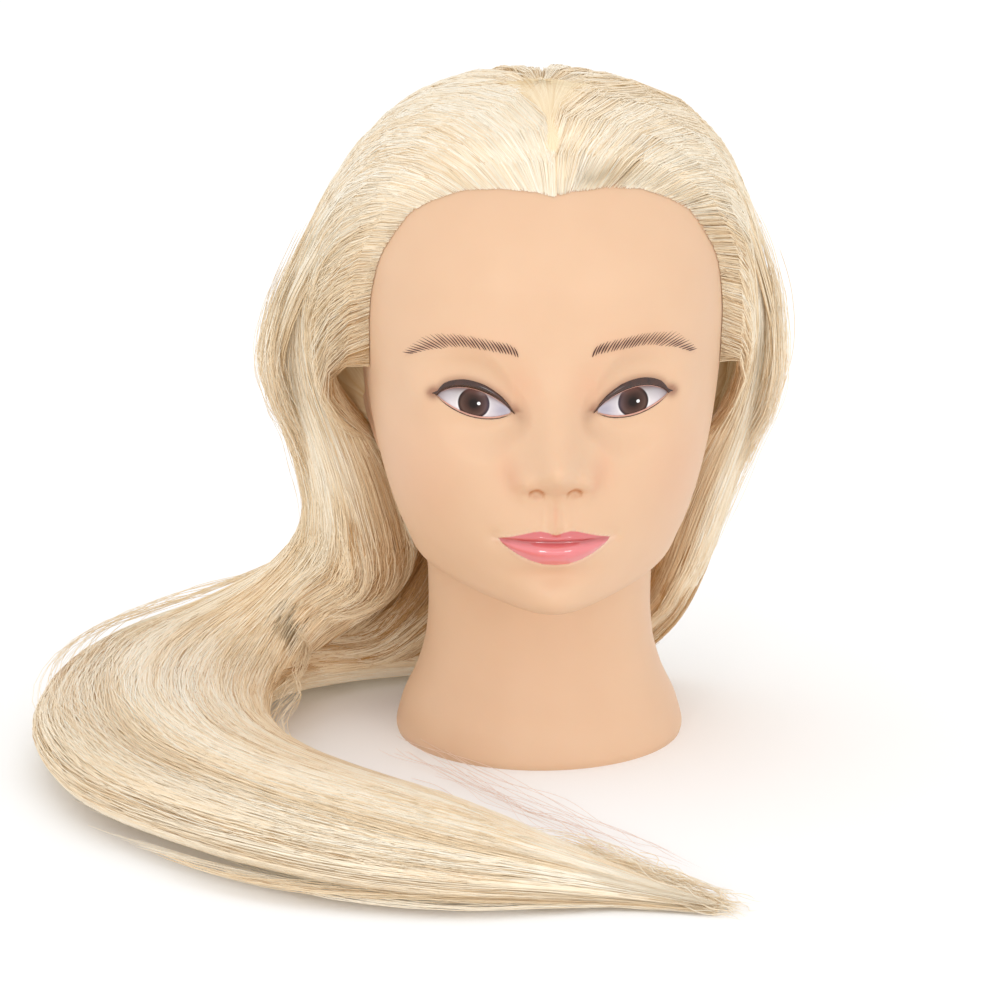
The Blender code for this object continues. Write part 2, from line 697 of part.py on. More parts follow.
def cap_top(name, side):
    """Half of the dome of hair over the crown, split at the parting."""
    heights = np.array(TOP_HEIGHTS)
    columns = TOP_COLUMNS
    degrees = np.linspace(0.0, HALF_TURN, columns)[None, :] + np.zeros((len(heights), 1))
    z = np.broadcast_to(heights[:, None], degrees.shape)
    inner = cap_point(z, degrees, side, scalp_gap(z))
    edge = cap_thickness(np.full(degrees.shape, CAP_SPLIT), degrees, side)
    lift = smooth_step(z, CAP_SPLIT, TOP_LIFT_END)
    outer = cap_point(z, degrees, side, edge * (1.0 - TOP_THINNING * lift))
    outer[..., 2] += TOP_THICKNESS * lift
    inner[..., 2] += SCALP_GAP * lift
    for grid in (inner, outer):
        grid[:, 0, 0] = side * GAP / 2
        grid[:, -1, 0] = side * GAP / 2
        grid[..., 0] = side * np.maximum(side * grid[..., 0], GAP / 2)
    count = inner.shape[0] * columns
    points = np.concatenate([inner.reshape(-1, 3), outer.reshape(-1, 3)])
    peak = np.array([side * GAP / 2, STATIONS[-1][0], STATIONS[-1][1]])
    apex_in = peak + np.array([0.0, 0.0, SCALP_GAP + APEX_SPARE])
    apex_out = peak + np.array([0.0, 0.0, TOP_THICKNESS])
    points = np.concatenate([points, [apex_in, apex_out]])
    faces = []
    rows = len(heights)
    for r in range(rows - 1):
        for c in range(columns - 1):
            a = r * columns + c
            quad = (a, a + columns, a + columns + 1, a + 1)
            faces.append(quad)
            faces.append(tuple(i + count for i in quad[::-1]))
    last = (rows - 1) * columns
    for c in range(columns - 1):
        faces.append((last + c, 2 * count, last + c + 1))
        faces.append((count + last + c + 1, 2 * count + 1, count + last + c))
        faces.append((c, c + 1, count + c + 1, count + c))
    for r in range(rows - 1):
        front = (r + 1) * columns
        faces.append((front, front - columns, front - columns + count, front + count))
        back = r * columns + columns - 1
        faces.append((back, back + columns, back + columns + count, back + count))
    faces.append((2 * count, last, last + count, 2 * count + 1))
    back = last + columns - 1
    faces.append((back, 2 * count, 2 * count + 1, back + count))
    if side < 0:
        faces = [face[::-1] for face in faces]
    return mesh_object(name, points, faces, HAIR)


def side_start(z):
    """Where the side section starts: further back below the temple, to pass behind the ear."""
    return SIDE_START + EAR_NOTCH * (1.0 - smooth_step(z, TEMPLE_BOTTOM - EAR_NOTCH_FADE, TEMPLE_BOTTOM))


def hair_cap():
    for side, word in ((-1, "left"), (1, "right")):
        cap_top(f"hair_top_{word}", side)
        high = CAP_SPLIT - GAP / 2
        cap_patch(
            f"hair_temple_{word}",
            side,
            np.linspace(TEMPLE_BOTTOM, high, TEMPLE_GRID[0]),
            lambda z: from_pairs(HAIRLINE, z),
            SIDE_START - PATCH_GAP_DEG,
            TEMPLE_GRID[1],
        )
        cap_patch(
            f"hair_side_{word}",
            side,
            np.linspace(SIDE_BOTTOM, high, SIDE_GRID[0]),
            side_start,
            BACK_START - PATCH_GAP_DEG,
            SIDE_GRID[1],
        )
        cap_patch(
            f"hair_back_{word}",
            side,
            np.linspace(BACK_BOTTOM, high, BACK_GRID[0]),
            lambda z: BACK_START + 0.0 * z,
            HALF_TURN - PATCH_GAP_DEG,
            BACK_GRID[1],
        )


def run_of(rows, start_axis, flat_start=True):
    """Closely spaced sections of a lock: centre, tangent and two cross axes at each."""
    at = np.arange(0.0, len(rows) - 1.0 + 1e-9, RUN_STEP)
    centre = np.stack([channel(rows, i, at) for i in range(3)], axis=-1)
    tangent = np.gradient(centre, axis=0)
    tangent /= np.linalg.norm(tangent, axis=-1, keepdims=True)
    if flat_start:
        tangent[0] = (0.0, 0.0, -1.0)
    across = np.zeros_like(tangent)
    axis = np.array(start_axis, float)
    for k, heading in enumerate(tangent):
        level = np.array([axis[0], axis[1], axis[2] * abs(heading[2])])
        axis = level - heading * np.dot(level, heading)
        axis /= np.linalg.norm(axis)
        across[k] = axis
    return at, centre, tangent, across, np.cross(tangent, across)


def lock(name, rows, first, last, run):
    """A closed lock of hair: elliptical sections that follow the run of the stations."""
    at, centre, tangent, across, other = run
    count = max(3, int(round((last - first) / SECTION_STEP)) + 1)
    picked = np.round(np.linspace(first, last, count) / RUN_STEP).astype(int)
    angles = np.arange(LOCK_SIDES) * TAU / LOCK_SIDES
    rings = []
    for k in picked:
        wide = channel(rows, 3, at[k])
        thick = channel(rows, 4, at[k])
        ring = centre[k] + np.outer(wide * np.cos(angles), across[k])
        ring = ring + np.outer(thick * np.sin(angles), other[k])
        if k == picked[-1]:
            ring = ring - GAP * tangent[k]
        ring[:, 2] = np.maximum(ring[:, 2], FLOOR_GAP)
        rings.append(ring)
    return stacked(name, rings, HAIR)


def hair_locks():
    left = run_of(LEFT_RUN, BACKWARDS)
    for index, name in enumerate(LEFT_NAMES):
        lock(name, LEFT_RUN, LEFT_CUTS[index], LEFT_CUTS[index + 1], left)
    right = run_of(RIGHT_RUN, BACKWARDS)
    lock("hair_fall_right_upper", RIGHT_RUN, 0.0, UPPER_END, right)
    lock("hair_fall_right_lower", RIGHT_RUN, UPPER_END, len(RIGHT_RUN) - 1.0, right)
    back = run_of(BACK_RUN, BACKWARDS)
    lock("hair_fall_back_upper", BACK_RUN, 0.0, UPPER_END, back)
    lock("hair_fall_back_lower", BACK_RUN, UPPER_END, len(BACK_RUN) - 1.0, back)


def wisp(name, rows):
    _, centre, _, across, other = run_of(rows, BACKWARDS, flat_start=False)
    picked = np.round(np.arange(0.0, len(rows) - 0.9, WISP_STEP) / RUN_STEP).astype(int)
    angles = np.arange(WISP_SIDES) * TAU / WISP_SIDES
    rings = []
    for k in picked:
        ring = centre[k] + WISP_RADIUS * np.outer(np.cos(angles), across[k])
        rings.append(ring + WISP_RADIUS * np.outer(np.sin(angles), other[k]))
    return stacked(name, rings, HAIR)


def centre_on_origin():
    """Moves every point so that the whole object stands on z = 0 about the origin."""
    bpy.context.view_layer.update()
    graph = bpy.context.evaluated_depsgraph_get()
    low = np.full(3, np.inf)
    high = np.full(3, -np.inf)
    for obj in bpy.data.objects:
        if obj.hide_render:
            continue
        shown = obj.evaluated_get(graph).to_mesh()
        points = np.array([vertex.co for vertex in shown.vertices])
        low = np.minimum(low, points.min(axis=0))
        high = np.maximum(high, points.max(axis=0))
    shift = np.array([(low[0] + high[0]) / 2, (low[1] + high[1]) / 2, low[2]])
    for obj in bpy.data.objects:
        for vertex in obj.data.vertices:
            vertex.co = vertex.co - type(vertex.co)(shift)


def build():
    clear_scene()
    skin = skin_shell()
    for side, word in ((-1, "left"), (1, "right")):
        cut(skin, eye_pocket(side, f"cutter_pocket_{word}"))
        eye_insert(side, f"eye_{word}")
    foam_core()
    base_plate()
    base_screws()
    clamp_socket()
    hair_cap()
    hair_locks()
    wisp("hair_wisp_left", LEFT_WISP)
    wisp("hair_wisp_right", RIGHT_WISP)
    centre_on_origin()


build()
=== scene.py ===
import math

import bpy
import numpy as np
from mathutils import Matrix, Vector
from mathutils.bvhtree import BVHTree


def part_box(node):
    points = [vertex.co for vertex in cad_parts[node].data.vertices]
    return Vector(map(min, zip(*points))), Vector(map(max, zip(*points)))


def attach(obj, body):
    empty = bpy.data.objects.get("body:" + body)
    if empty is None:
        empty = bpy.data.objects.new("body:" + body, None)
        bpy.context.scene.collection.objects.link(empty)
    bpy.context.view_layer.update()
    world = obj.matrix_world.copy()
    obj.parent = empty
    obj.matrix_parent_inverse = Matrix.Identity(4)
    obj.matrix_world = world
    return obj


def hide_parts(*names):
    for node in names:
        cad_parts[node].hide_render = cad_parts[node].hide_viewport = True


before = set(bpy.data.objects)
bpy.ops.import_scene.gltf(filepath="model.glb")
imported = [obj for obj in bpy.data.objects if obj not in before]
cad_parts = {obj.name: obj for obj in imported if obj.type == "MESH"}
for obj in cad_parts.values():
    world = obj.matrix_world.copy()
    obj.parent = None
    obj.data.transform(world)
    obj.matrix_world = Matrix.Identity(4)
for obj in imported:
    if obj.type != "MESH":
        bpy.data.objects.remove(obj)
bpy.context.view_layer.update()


RNG = np.random.default_rng(11)
TAU = 2.0 * math.pi
MM = 0.001
plate_low, plate_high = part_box("base_plate")
AXIS = np.array([(plate_low.x + plate_high.x) / 2, (plate_low.y + plate_high.y) / 2, 0.0])

# One ring of the head per row, in millimetres from the foot's axis: front (y, z),
# back (y, z), half width, squareness, pinch towards the front.
STATIONS = (
    (-59.4, 0.0, 59.4, 0.0, 59.4, 2.0, 0.00),
    (-60.0, 3.0, 60.0, 3.0, 60.0, 2.0, 0.00),
    (-57.5, 13.0, 57.5, 13.0, 57.5, 2.0, 0.00),
    (-50.8, 28.0, 50.8, 28.0, 50.8, 2.0, 0.00),
    (-47.2, 42.0, 47.2, 42.0, 47.2, 2.0, 0.00),
    (-46.2, 56.0, 46.4, 56.0, 46.2, 2.0, 0.00),
    (-48.0, 68.0, 47.6, 70.0, 46.4, 2.0, 0.02),
    (-57.0, 75.0, 50.0, 81.0, 48.0, 2.0, 0.20),
    (-74.0, 74.5, 54.0, 91.0, 50.5, 2.0, 0.38),
    (-89.0, 75.0, 58.5, 100.0, 53.0, 2.0, 0.45),
    (-96.0, 81.0, 63.5, 108.0, 56.0, 2.0, 0.42),
    (-97.5, 90.0, 69.0, 117.0, 60.0, 2.05, 0.34),
    (-98.5, 102.0, 75.0, 128.0, 63.8, 2.1, 0.24),
    (-99.0, 116.0, 80.5, 140.0, 67.0, 2.15, 0.15),
    (-98.0, 132.0, 85.5, 153.0, 69.8, 2.2, 0.08),
    (-96.5, 150.0, 89.0, 167.0, 72.0, 2.2, 0.04),
    (-96.0, 168.0, 91.0, 181.0, 73.6, 2.2, 0.02),
    (-97.0, 185.0, 91.5, 195.0, 74.6, 2.2, 0.01),
    (-97.0, 202.0, 90.0, 209.0, 74.6, 2.2, 0.00),
    (-93.5, 219.0, 86.0, 223.0, 72.6, 2.15, 0.00),
    (-85.5, 235.0, 78.0, 237.0, 68.0, 2.1, 0.00),
    (-73.0, 249.0, 65.5, 250.0, 59.5, 2.05, 0.00),
    (-54.0, 260.5, 48.0, 260.5, 46.0, 2.0, 0.00),
    (-30.0, 266.8, 28.0, 266.8, 27.0, 2.0, 0.00),
    (-1.0, 269.0, -1.0, 269.0, 0.0, 2.0, 0.00),
)
CROWN = len(STATIONS) - 1

# Runs of hair: x, y, z of the centre, half width across, half thickness.
LEFT_RUN = (
    (-80.0, 33.0, 117.4, 25.0, 19.0),
    (-75.0, 37.0, 97.0, 27.0, 20.0),
    (-73.0, 46.0, 76.0, 30.0, 24.0),
    (-82.0, 60.0, 52.0, 32.0, 22.0),
    (-102.0, 66.0, 32.0, 34.0, 19.0),
    (-131.0, 52.0, 21.0, 38.0, 17.0),
    (-155.0, 19.0, 17.5, 44.0, 16.0),
    (-162.0, -33.0, 16.5, 45.0, 15.5),
    (-149.0, -86.0, 15.5, 45.0, 14.5),
    (-115.0, -130.0, 14.5, 43.5, 13.5),
    (-74.0, -162.0, 13.2, 42.0, 12.5),
    (-37.0, -182.0, 11.0, 34.0, 10.5),
    (-5.0, -194.0, 7.8, 21.0, 7.3),
    (20.0, -203.5, 4.8, 11.0, 4.4),
    (37.0, -211.5, 3.2, 5.5, 2.9),
    (51.0, -218.0, 2.4, 2.4, 2.0),
)
RIGHT_RUN = (
    (78.0, 32.0, 117.4, 24.0, 14.0),
    (70.5, 36.0, 96.0, 24.0, 15.0),
    (65.0, 42.0, 70.0, 22.0, 14.0),
    (59.0, 50.0, 44.0, 17.0, 11.5),
    (47.0, 59.0, 22.0, 13.0, 9.0),
    (26.0, 69.0, 11.0, 11.0, 8.0),
    (-4.0, 75.0, 9.0, 12.0, 7.0),
    (-40.0, 73.0, 9.5, 15.0, 7.5),
    (-80.0, 65.0, 12.0, 20.0, 9.5),
    (-112.0, 54.0, 16.0, 29.0, 13.0),
) + LEFT_RUN[6:]
BACK_RUN = (
    (-2.0, 75.0, 132.0, 12.0, 52.0),
    (-4.0, 73.0, 92.0, 13.0, 40.0),
    (-10.0, 74.0, 70.0, 15.0, 38.0),
    (-26.0, 74.0, 48.0, 17.0, 30.0),
    (-48.0, 72.0, 28.0, 20.0, 18.0),
    (-76.0, 66.0, 15.0, 22.0, 11.0),
    (-108.0, 57.0, 16.0, 30.0, 13.0),
) + LEFT_RUN[6:]
CURTAIN_RUN = (
    (-52.0, 67.0, 134.0, 14.0, 26.0),
    (-52.0, 65.0, 112.0, 13.0, 24.0),
    (-52.0, 63.0, 92.0, 12.0, 22.0),
    (-56.0, 62.0, 72.0, 12.0, 20.0),
    (-66.0, 64.0, 50.0, 14.0, 20.0),
    (-86.0, 65.0, 32.0, 18.0, 15.0),
    (-114.0, 56.0, 20.0, 28.0, 13.0),
) + LEFT_RUN[6:]
SKULL = np.array([0.0, -3.0, 185.0])


def smooth_step(value, low, high):
    t = np.clip((value - low) / (high - low), 0.0, 1.0)
    return t * t * (3.0 - 2.0 * t)


def channel(rows, column, at):
    """One column of a station table at fractional positions, as a shape-keeping cubic."""
    known = np.array([row[column] for row in rows], float)
    steps = np.diff(known)
    slopes = np.zeros(len(known))
    same_way = steps[:-1] * steps[1:] > 0.0
    inner = np.zeros(len(steps) - 1)
    total = steps[:-1] + steps[1:]
    inner[same_way] = 2.0 * (steps[:-1] * steps[1:])[same_way] / total[same_way]
    slopes[1:-1] = inner
    slopes[0] = steps[0]
    slopes[-1] = steps[-1]
    low = np.clip(np.floor(at).astype(int), 0, len(known) - 2)
    t = at - low
    rise = known[low] * (2 * t**3 - 3 * t**2 + 1) + known[low + 1] * (3 * t**2 - 2 * t**3)
    return rise + slopes[low] * (t**3 - 2 * t**2 + t) + slopes[low + 1] * (t**3 - t**2)


def head_form(ring, angle):
    values = [channel(STATIONS, i, np.asarray(ring, float)) for i in range(7)]
    front_y, front_z, back_y, back_z, half, square, pinch = values
    cosine = np.cos(angle)
    sine = np.sin(angle)
    along = np.sign(cosine) * np.abs(cosine) ** (2.0 / square)
    across = np.sign(sine) * np.abs(sine) ** (2.0 / square)
    across = across * (1.0 - pinch * np.clip(along, 0.0, 1.0) ** 2)
    x = half * across
    y = 0.5 * (front_y + back_y) + 0.5 * (front_y - back_y) * along
    z = 0.5 * (front_z + back_z) + 0.5 * (front_z - back_z) * along
    return np.stack([x, y, z], axis=-1)


def bump(x, z, at_x, at_z, wide, tall):
    return np.exp(-(((x - at_x) / wide) ** 2) - ((z - at_z) / tall) ** 2)


# ---------------------------------------------------------------- face
LIP_HALF = 21.6
PARTING = 107.6
# Height of the lips above and below their parting, from the middle to the corner.
LIP_BOW = (
    (0.0, 1.5, 3.0, 5.75, 8.5, 11.5, 17.0, 20.0, LIP_HALF),
    (3.0, 3.3, 4.0, 4.5, 4.1, 3.2, 1.5, 0.7, 0.0),
)
LIP_DEPTH = (
    (0.0, 4.8, 9.8, 14.5, 18.0, 20.3, LIP_HALF),
    (9.3, 9.0, 7.5, 5.4, 3.2, 1.5, 0.0),
)


def lip_edges(x):
    """Upper edge, parting and lower edge of the lips at each x."""
    off = np.abs(x)
    bow = np.interp(off, *LIP_BOW)
    deep = np.interp(off, *LIP_DEPTH)
    parting = PARTING - 0.6 * np.clip(off / LIP_HALF, 0.0, 1.0) ** 2
    return parting + bow, parting, parting - deep


def lip_inside(x, z):
    """Distance inside the painted lips, in mm, negative outside."""
    upper, _, lower = lip_edges(x)
    inside = np.minimum(upper - z, z - lower)
    return np.minimum(inside, (LIP_HALF - np.abs(x)) * 0.6)


EYE_OUTER = 44.6
EYE_INNER = 16.4


def eye_edges(off):
    """Upper and lower edge of the eye opening at each distance from the middle plane."""
    t = np.clip((EYE_OUTER - off) / (EYE_OUTER - EYE_INNER), 0.0, 1.0)
    chord = 161.2 - 5.0 * t
    arch = np.clip(4.0 * t * (1.0 - t), 0.0, 1.0)
    return chord + 6.6 * arch**0.75 * (1.0 - 0.10 * t), chord - 4.6 * arch**0.85 * (1.0 + 0.05 * t)


def eye_outside(off, z):
    """Distance outside the eye opening, in mm, negative inside. Second value: above or below."""
    upper, lower = eye_edges(off)
    middle = 0.5 * (upper + lower)
    vertical = np.where(z > middle, z - upper, lower - z)
    ends = np.maximum(np.maximum(off - EYE_OUTER, EYE_INNER - off), 0.0)
    distance = np.where(ends > 0.0, np.hypot(ends, np.maximum(vertical, 0.0) * 0.9), vertical * 0.9)
    return distance, smooth_step(z - middle, -0.6, 0.6)


def eye_front(off, z):
    """y of the eyeball's front surface."""
    plane = -88.2 + (off - 17.0) * 0.325
    away = ((off - 31.0) / 16.0) ** 2 + ((z - 160.0) / 10.5) ** 2
    return plane - 2.6 + 3.4 * (1.0 - np.exp(-0.9 * away))


def lid_roll(distance, above):
    """How far the lid stands in front of the eyeball."""
    return 0.55 + 0.8 * above * np.exp(-(((distance - 1.6) / 1.9) ** 2)) + 0.25 * (1.0 - above)


# Height of the nose's ridge at each level, and how far it is softened up and down.
NOSE_RIDGE = (
    (120, 124, 127, 130, 134, 138.5, 143, 150, 158, 165, 172, 180),
    (0, 1.0, 4.6, 11.0, 17.2, 19.4, 17.4, 13.0, 8.2, 4.6, 2.2, 0),
)
NOSE_SOFTEN = 1.6


def nose(x, z):
    shifts = (-NOSE_SOFTEN, 0.0, NOSE_SOFTEN)
    below, level, above = (np.interp(z + shift, *NOSE_RIDGE) for shift in shifts)
    height = 0.5 * level + 0.25 * (below + above)
    width = np.interp(z, (122, 132, 140, 150, 160, 170), (9.4, 10.2, 10.4, 10.6, 10.8, 12.0))
    ridge = height * np.exp(-((x / width) ** 2))
    ball = 1.6 * bump(x, z, 0.0, 138.0, 6.5, 5.5)
    off = np.abs(x)
    wing = 5.6 * bump(off, z, 12.2, 131.5, 4.9, 5.6)
    fold = -1.1 * bump(off, z, 18.6, 131.0, 2.6, 5.5)
    nostril = -3.4 * bump(off, z, 7.6, 126.6, 3.4, 1.7)
    return ridge + ball + wing + fold + nostril


def mouth(x, z):
    upper, parting, lower = lip_edges(x)
    side = np.clip(1.0 - (np.abs(x) / (LIP_HALF + 2.5)) ** 2, 0.0, 1.0) ** 0.8
    above = np.clip((z - parting) / np.maximum(upper - parting, 1.2), 0.0, 2.2)
    below = np.clip((parting - z) / np.maximum(parting - lower, 1.4), 0.0, 2.2)
    top = 2.7 * side * np.exp(-(((above - 0.42) / 0.62) ** 2)) * (z >= parting)
    low = 4.2 * side * np.exp(-(((below - 0.45) / 0.56) ** 2)) * (z < parting)
    start_top = 2.7 * side * math.exp(-((0.42 / 0.62) ** 2))
    start_low = 4.2 * side * math.exp(-((0.45 / 0.56) ** 2))
    level = 0.5 * (start_top + start_low)
    mix = np.exp(-(((z - parting) / 1.1) ** 2))
    lips = (top + low) * (1.0 - mix) + level * mix
    groove = -1.9 * side * np.exp(-(((z - parting) / 0.75) ** 2))
    muzzle = 3.2 * bump(x, z, 0.0, 109.0, 23.0, 17.0)
    off = np.abs(x)
    rise = smooth_step(z, 110.0, 113.5)
    philtrum = -0.8 * np.exp(-((x / 2.0) ** 2)) * rise * (1.0 - smooth_step(z, 120.0, 125.0))
    columns = 0.5 * np.exp(-(((off - 4.0) / 1.7) ** 2)) * rise * (1.0 - smooth_step(z, 119.0, 124.0))
    corner = -1.2 * bump(off, z, 23.2, 107.0, 3.0, 3.4)
    fold = -2.8 * bump(x, z, 0.0, 93.2, 15.0, 4.2)
    chin = 3.2 * bump(x, z, 0.0, 82.0, 13.0, 8.0)
    return lips + groove + muzzle + philtrum + columns + corner + fold + chin


def brow_and_cheek(x, z):
    off = np.abs(x)
    socket = -2.8 * bump(off, z, 27.0, 163.0, 17.0, 11.5)
    inner = -1.3 * bump(off, z, 12.5, 162.0, 7.5, 11.0)
    brow = 1.0 * bump(off, z, 28.0, 181.0, 20.0, 7.5)
    cheek = 2.0 * bump(off, z, 42.0, 137.0, 15.0, 16.0)
    return socket + inner + brow + cheek


def lids(y, x, z):
    """The skin round the eyes: rolled lids over the eyeball, sunk inside the opening."""
    off = np.abs(x)
    distance, above = eye_outside(off, z)
    ball = eye_front(off, z)
    lid = ball - lid_roll(distance, above) * smooth_step(distance, -0.35, 0.75)
    near = np.where(distance < -0.1, ball + 1.6, lid)
    keep = smooth_step(distance, 1.0, np.interp(off, (11.0, 26.0), (8.0, 17.0)))
    region = smooth_step(-y, 45.0, 60.0)
    return np.where(distance < 18.0, (near * (1.0 - keep) + y * keep) * region + y * (1.0 - region), y)


def head_surface(ring, angle):
    form = head_form(ring, angle)
    x, y, z = form[..., 0], form[..., 1], form[..., 2]
    facing = smooth_step(-y, 25.0, 62.0) * smooth_step(z, 70.0, 77.0)
    y = y - (nose(x, z) + mouth(x, z) + brow_and_cheek(x, z)) * facing
    form[..., 1] = lids(y, x, z)
    return form


def grid_quads(rings, columns, wrap=True):
    r, c = np.meshgrid(np.arange(rings - 1), np.arange(columns if wrap else columns - 1), indexing="ij")
    following = (c + 1) % columns
    near, far = r * columns, (r + 1) * columns
    quads = np.stack([near + c, near + following, far + following, far + c], axis=-1)
    return quads.reshape(-1, 4)


def to_world(points):
    return (np.asarray(points, float) + AXIS * 1000.0) * MM


def make_mesh(name, points, faces, materials, face_material=None, attributes=None):
    """A mesh object from points in millimetres about the foot's axis."""
    mesh = bpy.data.meshes.new(name)
    if isinstance(faces, np.ndarray):
        world = to_world(points).astype(np.float32)
        corners_each = faces.shape[1]
        mesh.vertices.add(len(world))
        mesh.vertices.foreach_set("co", world.ravel())
        mesh.loops.add(faces.size)
        mesh.loops.foreach_set("vertex_index", faces.ravel().astype(np.int32))
        mesh.polygons.add(len(faces))
        mesh.polygons.foreach_set("loop_start", np.arange(len(faces), dtype=np.int32) * corners_each)
        mesh.update(calc_edges=True)
    else:
        mesh.from_pydata([tuple(p) for p in to_world(points)], [], faces)
        mesh.update()
    mesh.polygons.foreach_set("use_smooth", np.full(len(mesh.polygons), True))
    for material in materials:
        mesh.materials.append(material)
    if face_material is not None:
        mesh.polygons.foreach_set("material_index", face_material.astype(np.int32))
    for key, values in (attributes or {}).items():
        layer = mesh.attributes.new(key, "FLOAT", "POINT")
        layer.data.foreach_set("value", np.asarray(values, np.float32).ravel())
    obj = bpy.data.objects.new(name, mesh)
    bpy.context.scene.collection.objects.link(obj)
    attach(obj, "root")
    return obj


def side_word(side):
    return "left" if side < 0 else "right"


# ---------------------------------------------------------------- materials
class Nodes:
    """Short names for building a material's nodes."""

    def __init__(self, name):
        self.material = bpy.data.materials.new(name)
        self.material.use_nodes = True
        self.tree = self.material.node_tree
        self.shader = self.tree.nodes["Principled BSDF"]

    def node(self, kind, **settings):
        made = self.tree.nodes.new(kind)
        for key, value in settings.items():
            setattr(made, key, value)
        return made

    def link(self, source, target):
        self.tree.links.new(source, target)

    def attribute(self, name):
        return self.node("ShaderNodeAttribute", attribute_name=name).outputs["Fac"]

    def noise(self, scale, detail=3.0, rough=0.5, vector=None, stretch=None):
        noise = self.node("ShaderNodeTexNoise")
        noise.inputs["Scale"].default_value = scale
        noise.inputs["Detail"].default_value = detail
        noise.inputs["Roughness"].default_value = rough
        if vector is None:
            vector = self.node("ShaderNodeTexCoord").outputs["Object"]
        if stretch:
            mapping = self.node("ShaderNodeMapping")
            mapping.inputs["Scale"].default_value = stretch
            self.link(vector, mapping.inputs["Vector"])
            vector = mapping.outputs["Vector"]
        self.link(vector, noise.inputs["Vector"])
        return noise.outputs["Fac"]

    def ramp(self, factor, stops):
        ramp = self.node("ShaderNodeValToRGB")
        elements = ramp.color_ramp.elements
        while len(elements) < len(stops):
            elements.new(0.5)
        for element, (place, colour) in zip(elements, stops):
            element.position = place
            element.color = (*colour, 1.0)
        self.link(factor, ramp.inputs["Fac"])
        return ramp.outputs["Color"]

    def mix(self, factor, first, second, blend="MIX"):
        mix = self.node("ShaderNodeMix", data_type="RGBA", blend_type=blend)
        if isinstance(factor, float):
            mix.inputs["Factor"].default_value = factor
        else:
            self.link(factor, mix.inputs["Factor"])
        for socket, value in ((mix.inputs[6], first), (mix.inputs[7], second)):
            if isinstance(value, tuple):
                socket.default_value = (*value, 1.0)
            else:
                self.link(value, socket)
        return mix.outputs[2]

    def math(self, operation, first, second=None):
        node = self.node("ShaderNodeMath", operation=operation)
        for socket, value in zip(node.inputs, (first, second)):
            if value is None:
                continue
            if isinstance(value, (int, float)):
                socket.default_value = value
            else:
                self.link(value, socket)
        return node.outputs[0]

    def distance(self, across, up):
        squares = [self.math("MULTIPLY", value, value) for value in (across, up)]
        return self.math("SQRT", self.math("ADD", *squares))

    def map_range(self, value, low, high, top=1.0):
        made = self.node("ShaderNodeMapRange")
        self.link(value, made.inputs["Value"])
        made.inputs["From Min"].default_value = low
        made.inputs["From Max"].default_value = high
        made.inputs["To Max"].default_value = top
        return made.outputs["Result"]

    def set(self, **values):
        for key, value in values.items():
            self.shader.inputs[key.replace("_", " ")].default_value = value


def skin_material():
    n = Nodes("skin")
    mottle = n.noise(38.0, 3.0)
    base = n.ramp(mottle, ((0.3, (0.705, 0.458, 0.294)), (0.7, (0.725, 0.478, 0.310))))
    # Painted blush, and painted shade in the creases and hollows round the nose, mouth and chin.
    base = n.mix(n.attribute("blush_and_shade"), base, (0.74, 0.33, 0.20))
    # Painted shade in the nostrils.
    base = n.mix(n.attribute("nostril"), base, (0.50, 0.18, 0.06))
    base = n.mix(n.attribute("smoke"), base, (0.20, 0.06, 0.032))
    # Painted highlight: a pale band under the lower lip.
    base = n.mix(n.attribute("rim"), base, (0.86, 0.58, 0.44))
    lip_edge = n.map_range(n.attribute("lip"), -0.28, 0.22)
    # Painted shade on the lips: darker along the parting, over the upper lip and at the corners.
    lip_colour = n.mix(n.attribute("lip_shade"), (0.72, 0.165, 0.175), (0.50, 0.060, 0.055))
    base = n.mix(lip_edge, base, lip_colour)
    n.link(base, n.shader.inputs["Base Color"])
    fine = n.noise(900.0, 2.0)
    rough = n.mix(fine, (0.42, 0.42, 0.42), (0.50, 0.50, 0.50))
    rough = n.mix(n.attribute("gloss"), rough, (0.10, 0.10, 0.10))
    n.link(rough, n.shader.inputs["Roughness"])
    bump_node = n.node("ShaderNodeBump")
    bump_node.inputs["Strength"].default_value = 0.05
    bump_node.inputs["Distance"].default_value = 0.0004
    n.link(fine, bump_node.inputs["Height"])
    n.link(bump_node.outputs["Normal"], n.shader.inputs["Normal"])
    coat = n.math("MULTIPLY", n.attribute("gloss"), 0.8)
    n.link(coat, n.shader.inputs["Coat Weight"])
    n.set(Subsurface_Weight=0.15, Subsurface_Scale=0.006, Specular_IOR_Level=0.30)
    n.set(Coat_Roughness=0.10, Coat_IOR=2.0, Subsurface_Radius=(1.0, 0.45, 0.25))
    return n.material


